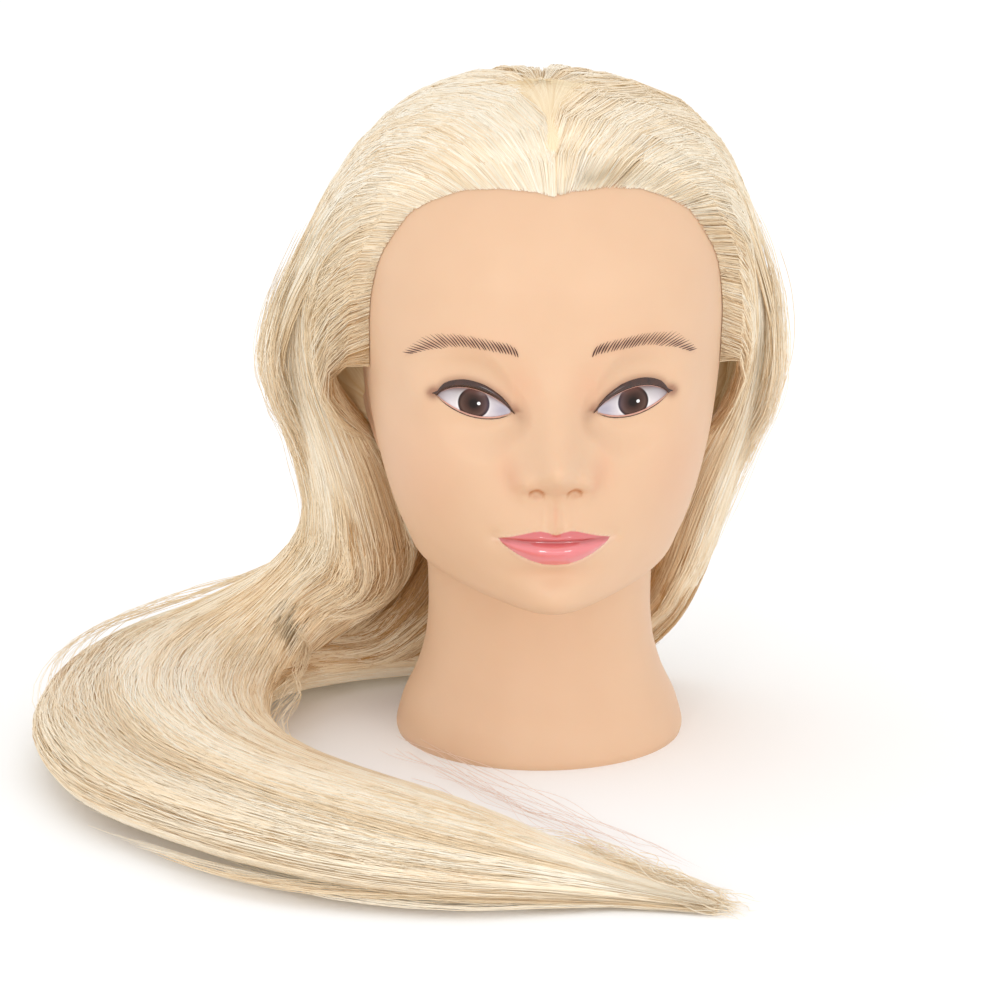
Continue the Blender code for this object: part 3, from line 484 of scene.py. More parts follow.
def eye_material():
    n = Nodes("eye")
    ex = n.attribute("ex")
    ez = n.attribute("ez")
    scaled = n.math("DIVIDE", n.distance(ex, ez), 10.0)
    stops = (
        (0.0, (0.008, 0.004, 0.003)),
        (0.14, (0.012, 0.006, 0.004)),
        (0.30, (0.060, 0.026, 0.018)),
        (0.47, (0.105, 0.056, 0.042)),
        (0.555, (0.040, 0.016, 0.012)),
        (0.585, (0.012, 0.005, 0.004)),
        (0.62, (0.88, 0.83, 0.83)),
        (0.70, (0.78, 0.72, 0.73)),
        (1.0, (0.70, 0.64, 0.67)),
    )
    colour = n.ramp(scaled, stops)
    # Painted shade from the upper lid: the eye darkens towards its top.
    lid_shadow = n.map_range(ez, -1.0, 5.5, 0.55)
    colour = n.mix(lid_shadow, colour, (0.10, 0.075, 0.075), "MULTIPLY")
    fibres = n.noise(900.0, 2.0)
    colour = n.mix(n.math("MULTIPLY", fibres, 0.10), colour, (0.10, 0.05, 0.04))
    # Painted shade: darker under the lid, along the lower edge and at the outer end, and bluish in the inner
    # corner.
    colour = n.mix(n.attribute("shade"), colour, (0.16, 0.06, 0.045))
    colour = n.mix(n.attribute("corner"), colour, (0.16, 0.17, 0.30))
    glint = n.distance(n.math("SUBTRACT", ex, 1.9), n.math("SUBTRACT", ez, 0.15))
    dot = n.ramp(glint, ((0.50, (1.0, 1.0, 1.0)), (0.75, (0.0, 0.0, 0.0))))
    colour = n.mix(dot, colour, (1.0, 1.0, 1.0))
    n.link(colour, n.shader.inputs["Base Color"])
    n.set(Roughness=0.14, Specular_IOR_Level=0.22)
    return n.material


def plain(name, colour, roughness, metallic=0.0, grain=(60.0, 0.12), coat=0.0):
    n = Nodes(name)
    scale, depth = grain
    darker = tuple(c * (1.0 - depth) for c in colour)
    lighter = tuple(min(1.0, c * (1.0 + depth)) for c in colour)
    n.link(n.ramp(n.noise(scale), ((0.3, darker), (0.7, lighter))), n.shader.inputs["Base Color"])
    n.set(Roughness=roughness, Metallic=metallic, Coat_Weight=coat, Coat_Roughness=0.06, Coat_IOR=1.8)
    return n.material


def under_hair_material(name, deep, light):
    """Hair mass under the loose strands: fine streaks that run with the flow."""
    n = Nodes(name)
    combine = n.node("ShaderNodeCombineXYZ")
    n.link(n.attribute("across"), combine.inputs["X"])
    n.link(n.attribute("along"), combine.inputs["Y"])
    fine = n.noise(1.0, 4.0, 0.6, combine.outputs["Vector"], (1.1, 0.02, 1.0))
    broad = n.noise(1.0, 2.0, 0.5, combine.outputs["Vector"], (0.16, 0.012, 1.0))
    both = n.math("ADD", n.math("MULTIPLY", fine, 0.6), n.math("MULTIPLY", broad, 0.4))
    n.link(n.ramp(both, ((0.36, deep), (0.62, light))), n.shader.inputs["Base Color"])
    n.set(Roughness=0.5, Specular_IOR_Level=0.35)
    return n.material


# Number of the lightest hair tone, where 0 is the darkest.
LIGHTEST = 8


def strand_materials():
    """Blonde tones from shaded gold to cream, each with a faint painted glow that lightens the shade between
    strands.
    """
    dark = np.array([0.56, 0.32, 0.125])
    mid = np.array([0.90, 0.74, 0.52])
    light = np.array([0.97, 0.91, 0.79])
    made = []
    for k in range(LIGHTEST + 1):
        t = k / LIGHTEST
        colour = dark + (mid - dark) * min(1.0, t * 2.0) + (light - mid) * max(0.0, t * 2.0 - 1.0)
        n = Nodes(f"hair_tone_{k}")
        n.set(Base_Color=(*colour, 1.0), Roughness=0.36, Specular_IOR_Level=0.5)
        n.set(Sheen_Weight=0.12, Sheen_Roughness=0.4, Sheen_Tint=(1.0, 0.90, 0.72, 1.0))
        # Painted light: a faint emission in each tone's colour lightens the shade between the strands.
        painted_glow = colour * np.array([1.0, 0.88, 0.70])
        n.set(Emission_Color=(*painted_glow, 1.0), Emission_Strength=0.07)
        made.append(n.material)
    return made


# ---------------------------------------------------------------- head
def skin_attributes(points):
    """Painted colours of the skin, makeup together with painted shade and a painted highlight: how much of
    each colour a point has.
    """
    x, y, z = points[..., 0], points[..., 1], points[..., 2]
    front = (y < -40.0) & (z > 70.0)
    off = np.abs(x)
    distance, above = eye_outside(off, z)
    smoke = 0.50 * above * np.exp(-((np.clip(distance - 2.0, 0.0, None) / 1.7) ** 2))
    smoke = smoke + 0.30 * (1.0 - above) * np.exp(-((np.clip(distance - 0.1, 0.0, None) / 0.7) ** 2))
    smoke = smoke + 0.30 * bump(off, z, 14.2, 155.2, 2.6, 2.2) + 0.75 * bump(off, z, 46.4, 161.4, 2.4, 2.2)
    brow_z = np.interp(off, BROW[0], BROW[1])
    brow_half = np.interp(off, BROW[0], BROW[2])
    window = smooth_step(off, 13.0, 16.0) * (1.0 - smooth_step(off, 54.0, 58.0))
    brow = 0.24 * np.exp(-(((z - brow_z + 0.5) / (brow_half * 0.7)) ** 2)) * window
    smoke = np.clip(smoke + brow, 0.0, 0.7) * front
    # Painted blush on the cheeks and round the brows; the other bumps are painted shade in the creases beside
    # the nose wings, the hollows beside the bridge, the chin fold and the philtrum groove.
    blush_and_shade = 0.16 * bump(off, z, 50.0, 128.0, 15.0, 22.0) + 0.24 * bump(off, z, 18.5, 134.0, 4.5, 9.0)
    blush_and_shade = blush_and_shade + 0.24 * bump(off, z, 13.0, 166.0, 7.0, 9.0) + 0.18 * bump(x, z, 0.0, 93.5, 14.0, 3.5)
    blush_and_shade = blush_and_shade + 0.12 * np.exp(-(((z - brow_z) / (brow_half * 2.2)) ** 2)) * window
    blush_and_shade = blush_and_shade + 0.35 * bump(x, z, 0.0, 118.0, 0.9, 5.0) + 0.16 * bump(off, z, 15.5, 131.0, 2.0, 5.0)
    # Painted shade in the nostrils: a dark arc along the top of each nostril hollow, with lighter shade below
    # it.
    arc = 128.9 - 2.6 * ((off - 7.3) / 3.1) ** 2
    arc_window = 1.0 - smooth_step(np.abs(off - 7.3), 2.4, 3.4)
    under = 0.45 * smooth_step(arc - z, 0.0, 0.6) * (1.0 - smooth_step(arc - z, 1.6, 2.6))
    nostril = np.clip(np.exp(-(((z - arc) / 0.75) ** 2)) + under, 0.0, 1.0) * arc_window
    blush_and_shade = np.clip(blush_and_shade, 0.0, 1.0) * (y < 0.0)
    lip = np.where(front, lip_inside(x, z), -5.0)
    upper, parting, _ = lip_edges(x)
    # Painted shade on the lips: darkest along the parting, darker over the upper lip and towards the corners.
    dark = np.exp(-(((z - parting) / 0.75) ** 2)) + 0.5 * (z > parting) + 0.5 * smooth_step(off, 16.0, 21.0)
    gloss = (lip > -0.3) * 1.0 * front
    # Painted highlight: a pale band just below the lower lip's edge.
    rim = 0.5 * np.exp(-(((lip + 0.9) / 0.6) ** 2)) * (z < parting) * front
    return {
        "smoke": smoke,
        "blush_and_shade": blush_and_shade,
        "nostril": nostril * front,
        "lip": lip,
        "lip_shade": np.clip(dark, 0.0, 1.0),
        "gloss": gloss,
        "rim": rim,
    }


def bare_skin(count, blush_and_shade):
    """The skin's shades for a piece with no face paint on it."""
    zero = np.zeros(count)
    keys = {key: zero for key in ("smoke", "nostril", "lip_shade", "gloss", "rim")}
    return keys | {"blush_and_shade": zero + blush_and_shade, "lip": zero - 5.0}


def head_rings(columns):
    foot = np.concatenate([np.linspace(0.0, 2.0, 12), np.linspace(2.0, 6.0, 22)[1:]])
    face = np.linspace(6.0, 19.5, 230)[1:]
    dome = np.linspace(19.5, CROWN, 34)[1:-1]
    even = np.arange(columns) * TAU / columns
    return np.concatenate([foot, face, dome]), even - 0.60 * np.sin(even)


def build_skin():
    columns = 320
    rows, angles = head_rings(columns)
    ring, angle = np.meshgrid(rows, angles, indexing="ij")
    points = head_surface(ring, angle).reshape(-1, 3)
    quads = grid_quads(len(rows), columns)
    skin = make_mesh("visual_skin", points, quads, [skin_material()], attributes=skin_attributes(points))
    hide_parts("head_skin")
    return skin


FOOT_RIM = 59.2
FOOT_WALL = 54.0
RIM_LIFT = 0.02
RIM_DEPTH = 6.0


def circle(radius, height, angles):
    """A level ring of points round the foot's axis."""
    return np.stack([radius * np.sin(angles), -radius * np.cos(angles), np.full(len(angles), height)], axis=-1)


def dome_cap(skin_mat):
    """Closes the crown and the foot of the skin."""
    columns = 48
    angles = np.arange(columns) * TAU / columns
    top = head_form(np.full(columns, CROWN - 0.5), angles)
    points = np.concatenate([top, [[0.0, -1.0, 269.0]]])
    faces = [(c, (c + 1) % columns, columns) for c in range(columns)]
    cap = make_mesh("visual_crown", points, faces, [skin_mat], attributes=bare_skin(len(points), 0.0))
    levels = ((FOOT_RIM, RIM_LIFT), (FOOT_WALL, RIM_LIFT), (FOOT_WALL, RIM_DEPTH))
    points = np.concatenate([circle(radius, height, angles) for radius, height in levels])
    quads = grid_quads(3, columns)[:, ::-1].copy()
    rim = make_mesh("visual_foot_rim", points, quads, [skin_mat], attributes=bare_skin(len(points), 0.0))


def ear(side, skin_mat):
    """A moulded ear: a rimmed shell that leans back, with a lobe, a bowl and a fold."""
    rows, columns = 40, 26
    u = np.linspace(0.0, 1.0, rows)[:, None]
    v = np.linspace(0.0, 1.0, columns)[None, :]
    z = 108.5 + 53.0 * u + 0.0 * v
    oval = 4.0 * (0.04 + 0.96 * u) * (1.0 - 0.93 * u)
    width = 19.0 * np.clip(oval, 0.02, None) ** 0.45 * (0.74 + 0.36 * u)
    y_front = -9.0 + 5.0 * (1.0 - u) ** 2 + 2.0 * u
    y = y_front + width * v
    base = np.interp(z, (105.0, 120.0, 140.0, 165.0), (57.5, 62.5, 67.5, 71.2))
    flare = 4.2 * v**1.2 * np.sin(np.clip(u, 0.02, 0.98) * math.pi) ** 0.6
    rim = 1.0 * np.exp(-(((v - 0.92) / 0.10) ** 2)) + 0.9 * np.exp(-(((v - 0.62) / 0.12) ** 2)) * (u > 0.3)
    bowl = -2.6 * np.exp(-(((v - 0.38) / 0.20) ** 2) - ((u - 0.45) / 0.22) ** 2)
    tragus = 1.5 * np.exp(-(((v - 0.10) / 0.10) ** 2) - ((u - 0.42) / 0.10) ** 2)
    x = base + 0.6 + flare + rim + bowl + tragus
    outer = np.stack([side * x, y, z], axis=-1)
    back = outer.copy()
    back[..., 0] -= side * (2.0 + 2.5 * (1.0 - v))
    points = np.concatenate([outer.reshape(-1, 3), back.reshape(-1, 3)])
    count = rows * columns
    faces = grid_quads(rows, columns, wrap=False)
    inner = faces[:, ::-1] + count
    edge = list(range(columns)) + [r * columns + columns - 1 for r in range(1, rows)]
    edge += [count - 1 - k for k in range(1, columns)]
    edge += [(rows - 1 - k) * columns for k in range(1, rows - 1)]
    strip = [(after, here, here + count, after + count) for here, after in zip(edge, edge[1:] + edge[:1])]
    quads = np.concatenate([faces, inner, np.array(strip)])
    if side < 0:
        quads = quads[:, ::-1].copy()
    word = side_word(side)
    made = make_mesh(f"visual_ear_{word}", points, quads, [skin_mat], attributes=bare_skin(len(points), 0.10))


def eye_patch(side, material):
    """The glossy front of one eye, cut to the shape of the opening."""
    rows, columns = 26, 90
    turn = np.linspace(0.0, 1.0, columns)[None, :]
    off = EYE_OUTER + 0.4 - (EYE_OUTER - EYE_INNER + 0.7) * turn
    upper, lower = eye_edges(off)
    share = np.linspace(0.0, 1.0, rows)[:, None]
    z = (lower - 0.5) + (upper - lower + 1.0) * share
    off = off + 0.0 * share
    y = eye_front(off, z)
    x = side * off
    points = np.stack([x, y, z], axis=-1)
    quads = grid_quads(rows, columns, wrap=False)
    if side > 0:
        quads = quads[:, ::-1].copy()
    centre_x = side * 30.75
    # Painted shade for the eye: darker under the upper lid, along the lower edge and towards the outer end;
    # corner is bluish painted shade in the inner corner.
    level = share + 0.0 * off
    shade = 0.85 * smooth_step(level, 0.66, 1.0) + 0.15 * smooth_step(-level, -0.10, 0.02)
    shade = shade + 0.35 * smooth_step(off, 40.0, 44.5)
    corner = 0.45 * bump(off, z, 19.5, 156.6, 3.4, 2.8) + 0.15 * bump(off, z, 24.0, 158.0, 3.0, 5.0)
    keys = {"ex": x - centre_x, "ez": z - 158.9, "shade": np.clip(shade, 0, 1), "corner": corner}
    keys = {key: np.broadcast_to(value, z.shape) for key, value in keys.items()}
    word = side_word(side)
    made = make_mesh(f"visual_eye_{word}", points.reshape(-1, 3), quads, [material], attributes=keys)
    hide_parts(f"eye_{word}")


def tube(name, path, radii, material, sides=8):
    """A tapering closed tube along a path."""
    path = np.asarray(path, float)
    tangent = np.gradient(path, axis=0)
    tangent /= np.linalg.norm(tangent, axis=1, keepdims=True)
    first = np.cross(tangent, np.array([0.2, 1.0, 0.35]))
    first /= np.linalg.norm(first, axis=1, keepdims=True)
    second = np.cross(tangent, first)
    angles = np.arange(sides) * TAU / sides
    ring = first[:, None, :] * np.cos(angles)[:, None] + second[:, None, :] * np.sin(angles)[:, None]
    points = path[:, None, :] + ring * np.asarray(radii)[:, None, None]
    return make_mesh(name, points.reshape(-1, 3), grid_quads(len(path), sides), [material])


def ribbon(name, lower, upper, proud, material, rows=7):
    """A crowned strip between two edges given as points, standing proud of both."""
    share = np.linspace(0.0, 1.0, rows)[None, :, None]
    lift = np.sin(share * math.pi) ** 0.7 * proud[:, None, None]
    points = lower[:, None, :] * (1.0 - share) + upper[:, None, :] * share
    points[..., 1] -= lift[..., 0]
    quads = grid_quads(len(lower), rows, wrap=False)
    a, b, c = (points.reshape(-1, 3)[quads[:, k]] for k in (0, 1, 2))
    if np.cross(b - a, c - a)[:, 1].mean() > 0.0:
        quads = quads[:, ::-1].copy()
    return make_mesh(name, points.reshape(-1, 3), quads, [material])


# The painted band over each eye: its ends, and its height along the way between them.
LINER_OUTER = 46.6
LINER_INNER = 15.2
LINER_BAND = (
    (LINER_INNER, 17.0, 20.0, 26.0, 34.0, 42.0, 45.0, LINER_OUTER),
    (0.4, 1.3, 2.1, 2.7, 2.8, 2.6, 1.5, 0.3),
)


def lid_rims(side, dark, pale):
    """The glossy painted band over each eye and the thin edges of the lids."""
    count = 90
    word = side_word(side)
    turn = np.linspace(0.0, 1.0, count)
    off = LINER_OUTER - (LINER_OUTER - LINER_INNER) * turn
    inner_off = np.clip(off, EYE_INNER, EYE_OUTER)
    upper, low = eye_edges(inner_off)
    band = np.interp(off, *LINER_BAND)
    bottom = np.where(off > EYE_OUTER, 160.85 + (off - EYE_OUTER) * 0.25, upper - 0.35)
    bottom = np.where(off < EYE_INNER, 156.2 - (EYE_INNER - off) * 0.9, bottom)
    top = bottom + 0.35 + band
    ends = np.clip(np.minimum(np.arange(count), count - 1 - np.arange(count)) / 10.0, 0.0, 1.0)
    y_low = eye_front(off, bottom) - 0.62
    y_top = eye_front(off, top) - 1.45
    edge_low = np.stack([side * off, y_low, bottom], axis=-1)
    edge_top = np.stack([side * off, y_top, top], axis=-1)
    band_mesh = ribbon(f"visual_liner_{word}", edge_low, edge_top, 0.75 * ends + 0.12, dark)
    off = np.linspace(EYE_OUTER, EYE_INNER, 60)
    upper, lower = eye_edges(off)
    ends = np.clip(np.minimum(np.arange(60), 59 - np.arange(60)) / 8.0, 0.15, 1.0)
    for name, z, lift, size, material in (
        ("upper", upper - 0.35, 0.25, 0.24, pale),
        ("lower", lower - 0.05, 0.30, 0.30, pale),
        ("lash", lower - 0.62, 0.62, 0.15, dark),
    ):
        path = np.stack([side * off, eye_front(off, z) - lift, z], axis=-1)
        rim = tube(f"visual_lid_{name}_{word}", path, size * ends, material)


def skin_y(tree, x, z):
    """y of the skin in front of a point, by a ray from the front."""
    origin = Vector(to_world([x, -200.0, z]))
    hit, _, _, _ = tree.ray_cast(origin, Vector((0.0, 1.0, 0.0)))
    return None if hit is None else (hit.y / MM - AXIS[1] * 1000.0)


# Each brow from its inner end: distance off, height of its middle line, half its thickness.
BROW = (
    (13.4, 17.0, 24.0, 30.0, 36.0, 43.0, 50.0, 54.0, 57.2),
    (180.2, 182.1, 183.1, 183.8, 184.1, 183.2, 179.5, 176.4, 173.9),
    (1.9, 2.4, 2.5, 2.5, 2.5, 2.2, 1.5, 1.1, 0.6),
)


def brows(tree, material):
    """Painted brow strokes that follow the skin, thick at their middle and pointed at their upper end."""
    strokes, steps = 33, 12
    for side, word in ((-1, "left"), (1, "right")):
        points, faces = [], []
        for k in range(strokes):
            t = (k + 0.5) / strokes + RNG.normal(0.0, 0.002)
            off = 14.2 + 41.8 * t
            middle = np.interp(off, BROW[0], BROW[1])
            half = np.interp(off, BROW[0], BROW[2]) * RNG.uniform(0.9, 1.08)
            lean = np.interp(t, (0.0, 0.15, 0.6, 1.0), (66.0, 58.0, 46.0, -8.0))
            slope = math.radians(lean + RNG.normal(0.0, 2.0))
            length = half / max(math.sin(abs(slope)), 0.45)
            wide = np.interp(t, (0.0, 0.2, 0.7, 1.0), (0.30, 0.26, 0.21, 0.26)) * RNG.uniform(0.85, 1.15)
            start = len(points)
            for j in range(steps):
                along = j / (steps - 1.0) * 2.0 - 1.0
                p_off = off + math.cos(slope) * along * length + 0.25 * along * along
                p_z = middle + math.sin(slope) * along * length
                taper = (1.0 - max(0.0, along) ** 1.5 * 0.92) * (1.0 - max(0.0, -along) ** 3 * 0.75)
                for sign in (-1.0, 1.0):
                    px = side * (p_off - sign * wide * taper * math.sin(slope))
                    pz = p_z + sign * wide * taper * math.cos(slope)
                    y = skin_y(tree, px, pz)
                    points.append((px, (-85.0 if y is None else y) - 0.10, pz))
            for j in range(steps - 1):
                a = start + 2 * j
                faces.append((a, a + 1, a + 3, a + 2) if side < 0 else (a, a + 2, a + 3, a + 1))
        made = make_mesh(f"visual_brow_{word}", np.array(points), faces, [material])


# ---------------------------------------------------------------- hair
TABLE_STEP = 2.0
TABLE_LOW = -62.0
CROWN_POINT = (0.0, -1.0, 269.0)


def skull_table():
    """Distance from the skull's middle to the scalp by azimuth (0 front, 180 back) and elevation."""
    rows = np.linspace(6.5, CROWN - 0.01, 150)
    columns = 120
    ring, angle = np.meshgrid(rows, np.arange(columns) * TAU / columns, indexing="ij")
    points = head_form(ring, angle).reshape(-1, 3)
    faces = [tuple(int(i) for i in q) for q in grid_quads(len(rows), columns)]
    top = len(points)
    points = np.concatenate([points, [CROWN_POINT]])
    last = (len(rows) - 1) * columns
    faces += [(last + c, last + (c + 1) % columns, top) for c in range(columns)]
    tree = BVHTree.FromPolygons([Vector(p) for p in points], faces)
    azimuths = np.arange(0.0, 181.0, TABLE_STEP)
    elevations = np.arange(TABLE_LOW, 91.0, TABLE_STEP)
    table = np.zeros((len(azimuths), len(elevations)))
    for i, azimuth in enumerate(azimuths):
        for j, elevation in enumerate(elevations):
            hit = tree.ray_cast(Vector(SKULL), Vector(direction(azimuth, elevation, 1.0)))[0]
            table[i, j] = (hit - Vector(SKULL)).length if hit is not None else 60.0
    return table


def direction(azimuth, elevation, side):
    """Unit directions from the skull's middle, from angles in degrees."""
    azimuth, elevation = np.radians(azimuth), np.radians(elevation)
    flat = np.cos(elevation)
    return np.stack([side * np.sin(azimuth) * flat, -np.cos(azimuth) * flat, np.sin(elevation)], axis=-1)


def scalp(table, azimuth, elevation):
    """Scalp radius at angles in degrees, by bilinear lookup."""
    i = np.clip(np.abs(azimuth) / TABLE_STEP, 0.0, table.shape[0] - 1.001)
    j = np.clip((elevation - TABLE_LOW) / TABLE_STEP, 0.0, table.shape[1] - 1.001)
    i0, j0 = i.astype(int), j.astype(int)
    fi, fj = i - i0, j - j0
    low = table[i0, j0] * (1 - fi) + table[i0 + 1, j0] * fi
    high = table[i0, j0 + 1] * (1 - fi) + table[i0 + 1, j0 + 1] * fi
    return low * (1 - fj) + high * fj


def thickness(azimuth, elevation, side):
    """Full thickness of the hair over the scalp."""
    levels = (-45.0, -38.0, -25.0, -15.0, 0.0, 20.0, 35.0, 50.0, 90.0)
    if side < 0:
        full = np.interp(elevation, levels, (38.0, 38.0, 39.0, 38.0, 30.0, 18.0, 11.5, 8.5, 6.5))
    else:
        full = np.interp(elevation, levels, (24.0, 25.0, 24.0, 22.0, 17.0, 12.5, 10.0, 8.0, 6.5))
    back = np.interp(elevation, (-45.0, 20.0, 90.0), (15.0, 14.0, 6.5))
    return full + (back - full) * smooth_step(np.abs(azimuth), 115.0, 165.0)


# Spacing of a run's points, in stations.
RUN_STEP = 0.05


def run_table(rows):
    """Closely spaced centre, cross axes and sizes along a run of hair."""
    at = np.arange(0.0, len(rows) - 1.0 + 1e-9, RUN_STEP)
    centre = np.stack([channel(rows, i, at) for i in range(3)], axis=-1)
    smooth = centre.copy()
    for _ in range(14):
        smooth[1:-1] = 0.25 * smooth[:-2] + 0.5 * smooth[1:-1] + 0.25 * smooth[2:]
    tangent = np.gradient(smooth, axis=0)
    tangent /= np.linalg.norm(tangent, axis=-1, keepdims=True)
    tangent[0] = (0.0, 0.0, -1.0)
    across = np.zeros_like(tangent)
    axis = np.array([0.0, 1.0, 0.0])
    for k, heading in enumerate(tangent):
        level = np.array([axis[0], axis[1], axis[2] * abs(heading[2])])
        axis = level - heading * np.dot(level, heading)
        axis /= np.linalg.norm(axis)
        across[k] = axis
    return {
        "centre": smooth,
        "across": across,
        "other": np.cross(tangent, across),
        "wide": channel(rows, 3, at),
        "thick": channel(rows, 4, at),
        "count": len(at),
        "length": np.concatenate([[0.0], np.cumsum(np.linalg.norm(np.diff(smooth, axis=0), axis=1))]),
    }


def run_at(run, at, a, b):
    """Points at positions along a run (in stations) with section coordinates a (across) and b."""
    k = np.clip(at / RUN_STEP, 0.0, run["count"] - 1.001)
    k0 = k.astype(int)
    f = k - k0

    def look(key):
        low, high = run[key][k0], run[key][k0 + 1]
        share = f[..., None] if low.ndim > f.ndim else f
        return low + (high - low) * share

    wide, thick = look("wide"), look("thick")
    return look("centre") + look("across") * (a * wide)[..., None] + look("other") * (b * thick)[..., None]


def wander(count, steps, waves, amount, along):
    """Smooth random drift for each strand, as a sum of slow waves."""
    total = np.zeros((count, steps))
    for k in range(waves):
        rate = RNG.uniform(0.6, 1.4, (count, 1)) * (k + 1)
        phase = RNG.uniform(0.0, TAU, (count, 1))
        size = RNG.normal(0.0, 1.0, (count, 1)) / (k + 1)
        total += size * np.sin(rate * along * TAU + phase)
    return total * amount


# Edge of the hair from the parting to the nape, as azimuths and elevations: for the strands' roots,
# and for the combed mass under them.
HAIR_EDGE = (
    (0.0, 5.0, 14.5, 26.0, 36.0, 42.5, 52.0, 60.0, 67.0, 84.0, 103.0, 116.0, 142.0, 180.0),
    (33.4, 34.6, 35.5, 35.0, 32.0, 29.0, 18.8, 5.8, -16.8, -17.0, -20.0, -38.0, -48.0, -50.0),
)
MASS_EDGE = (
    (0.0, 5.0, 14.5, 26.0, 36.0, 42.5, 52.0, 60.0, 67.0, 84.0, 93.0, 101.0, 142.0, 180.0),
    (33.4, 34.6, 35.5, 35.0, 32.0, 29.0, 18.8, 5.8, -16.8, -17.0, -28.0, -44.0, -50.0, -50.0),
)


def hairline(u):
    """Azimuth and elevation of the hairline: 0 at the parting, 1 in front of the ear, 2 at the nape."""
    stops = (0.0, 0.08, 0.2, 0.33, 0.45, 0.55, 0.68, 0.82, 1.0, 1.12, 1.3, 1.5, 1.75, 2.0)
    return np.interp(u, stops, HAIR_EDGE[0]), np.interp(u, stops, HAIR_EDGE[1])


def unit(vectors):
    return vectors / np.linalg.norm(vectors, axis=-1, keepdims=True)

def sphere_path(points, t):
    """A cubic Bezier through four sets of directions, as unit vectors."""
    t = t[..., None]
    b0, b1, b2, b3 = (1 - t) ** 3, 3 * t * (1 - t) ** 2, 3 * t**2 * (1 - t), t**3
    first, second, third, fourth = (p[:, None, :] for p in points)
    return unit(first * b0 + second * b1 + third * b2 + fourth * b3)


# Along the hairline from the parting: the strands' lean along it, the reach of their first bend in
# degrees, the azimuth and elevation they pass on the way to the fall, and the height of their roll.
LEAN = (
    (0.0, 0.1, 0.3, 0.5, 0.7, 0.85, 1.0, 2.0),
    (0.15, 0.42, 0.56, 0.56, 0.50, 0.44, 0.36, 0.1),
)
FIRST_BEND = ((0.0, 0.3, 0.6, 1.0, 1.3, 2.0), (34.0, 28.0, 20.0, 13.0, 10.0, 4.0))
VIA_AZIMUTH = ((0.0, 0.3, 0.6, 0.8, 1.0, 2.0), (104.0, 96.0, 86.0, 82.0, 84.0, 120.0))
VIA_ELEVATION = (
    (0.0, 0.2, 0.4, 0.6, 0.8, 1.0, 1.4, 2.0),
    (58.0, 46.0, 28.0, 6.0, -14.0, -26.0, -32.0, -38.0),
)
ROLL = ((0.0, 0.1, 0.3, 1.0, 1.3, 2.0), (0.4, 0.6, 0.8, 1.0, 0.6, 0.5))


def cap_paths(side, table, u, depth, lay, exit_points, steps, roll_height, shared):
    """Paths over the scalp from roots on the hairline to the points where the fall begins."""
    count = len(u)
    azimuth0, elevation0 = hairline(u)
    azimuth_b, elevation_b = hairline(np.clip(u + 0.04, 0.0, 2.0))
    azimuth_a, elevation_a = hairline(np.clip(u - 0.04, 0.0, 2.0))
    shrink = np.cos(np.radians(elevation0))
    run_az = (azimuth_b - azimuth_a) * shrink
    run_el = elevation_b - elevation_a
    size = np.hypot(run_az, run_el)
    inward_az = -run_el / size / np.maximum(shrink, 0.3)
    inward_el = run_az / size
    azimuth0 = azimuth0 + inward_az * depth
    elevation0 = elevation0 + inward_el * depth
    root = direction(azimuth0, elevation0, side)
    ahead = unit(direction(azimuth0 + inward_az, elevation0 + inward_el, side) - root)
    beside = unit(direction(azimuth0 + run_az / shrink / size, elevation0 + run_el / size, side) - root)
    lean = np.interp(u, *LEAN)[:, None]
    ahead = unit(ahead * (1.0 - lean) + beside * lean)
    reach = np.radians(np.interp(u, *FIRST_BEND))
    second = root + ahead * reach[:, None]
    exit_rays = exit_points - SKULL
    exit_reach = np.linalg.norm(exit_rays, axis=-1)
    exit_rays = exit_rays / exit_reach[:, None]
    via_az = np.interp(u, *VIA_AZIMUTH) + RNG.normal(0.0, 1.5, count) + shared * 3.0
    via_el = np.interp(u, *VIA_ELEVATION) + RNG.normal(0.0, 1.5, count) + shared * 4.0
    third = direction(via_az, via_el, side)
    t = np.linspace(0.0, 1.0, steps)[None, :] ** 1.35 + np.zeros((count, 1))
    rays = sphere_path((root, second, third, exit_rays), t)
    azimuth, elevation = angles_of(rays)
    base = scalp(table, azimuth, elevation)
    full = thickness(azimuth, elevation, side)
    end_full = thickness(*angles_of(exit_rays), side)
    end_share = (exit_reach - scalp(table, *angles_of(exit_rays))) / end_full
    travelled = t * 90.0
    rolled = roll_height[:, None] * (1.0 - np.exp(-travelled / 4.5))
    finish = smooth_step(t, 0.45, 1.0)
    laid = (lay[:, None] * (1.0 - finish) + end_share[:, None] * finish) * full
    height = rolled + (laid - rolled) * smooth_step(t, 0.06, 0.42)
    height = np.maximum(height, 0.35)
    return SKULL + rays * (base + height)[..., None]


def resample(paths, keep):
    """Each path at its own set of fractions of its length."""
    count = len(paths)
    travelled = np.cumsum(np.linalg.norm(np.diff(paths, axis=1), axis=2), axis=1)
    lengths = np.concatenate([np.zeros((count, 1)), travelled], axis=1)
    out = np.empty((count, keep.shape[1], 3))
    for k in range(count):
        goal = keep[k] * lengths[k, -1]
        for axis in range(3):
            out[k, :, axis] = np.interp(goal, lengths[k], paths[k, :, axis])
    return out


def evenly(paths, steps, last=1.0):
    """Each path at equal spaces, over its whole length or a first share of it."""
    return resample(paths, np.linspace(0.0, last, steps)[None, :] + np.zeros((len(paths), 1)))


def length_of(paths):
    return np.linalg.norm(np.diff(paths, axis=1), axis=2).sum(axis=1)


# Points along a strand, and the most faces in one piece of strands.
FALL_STEPS = 31
CROWN_STEPS = 22
RUN_STEPS = 20
LOOSE_STEPS = 40
MOST_FACES = 95000
# Strand radius in mm, and the lowest a strand's middle goes over the table.
STRAND_RADIUS = (0.14, 0.24)
LOWEST = 0.5


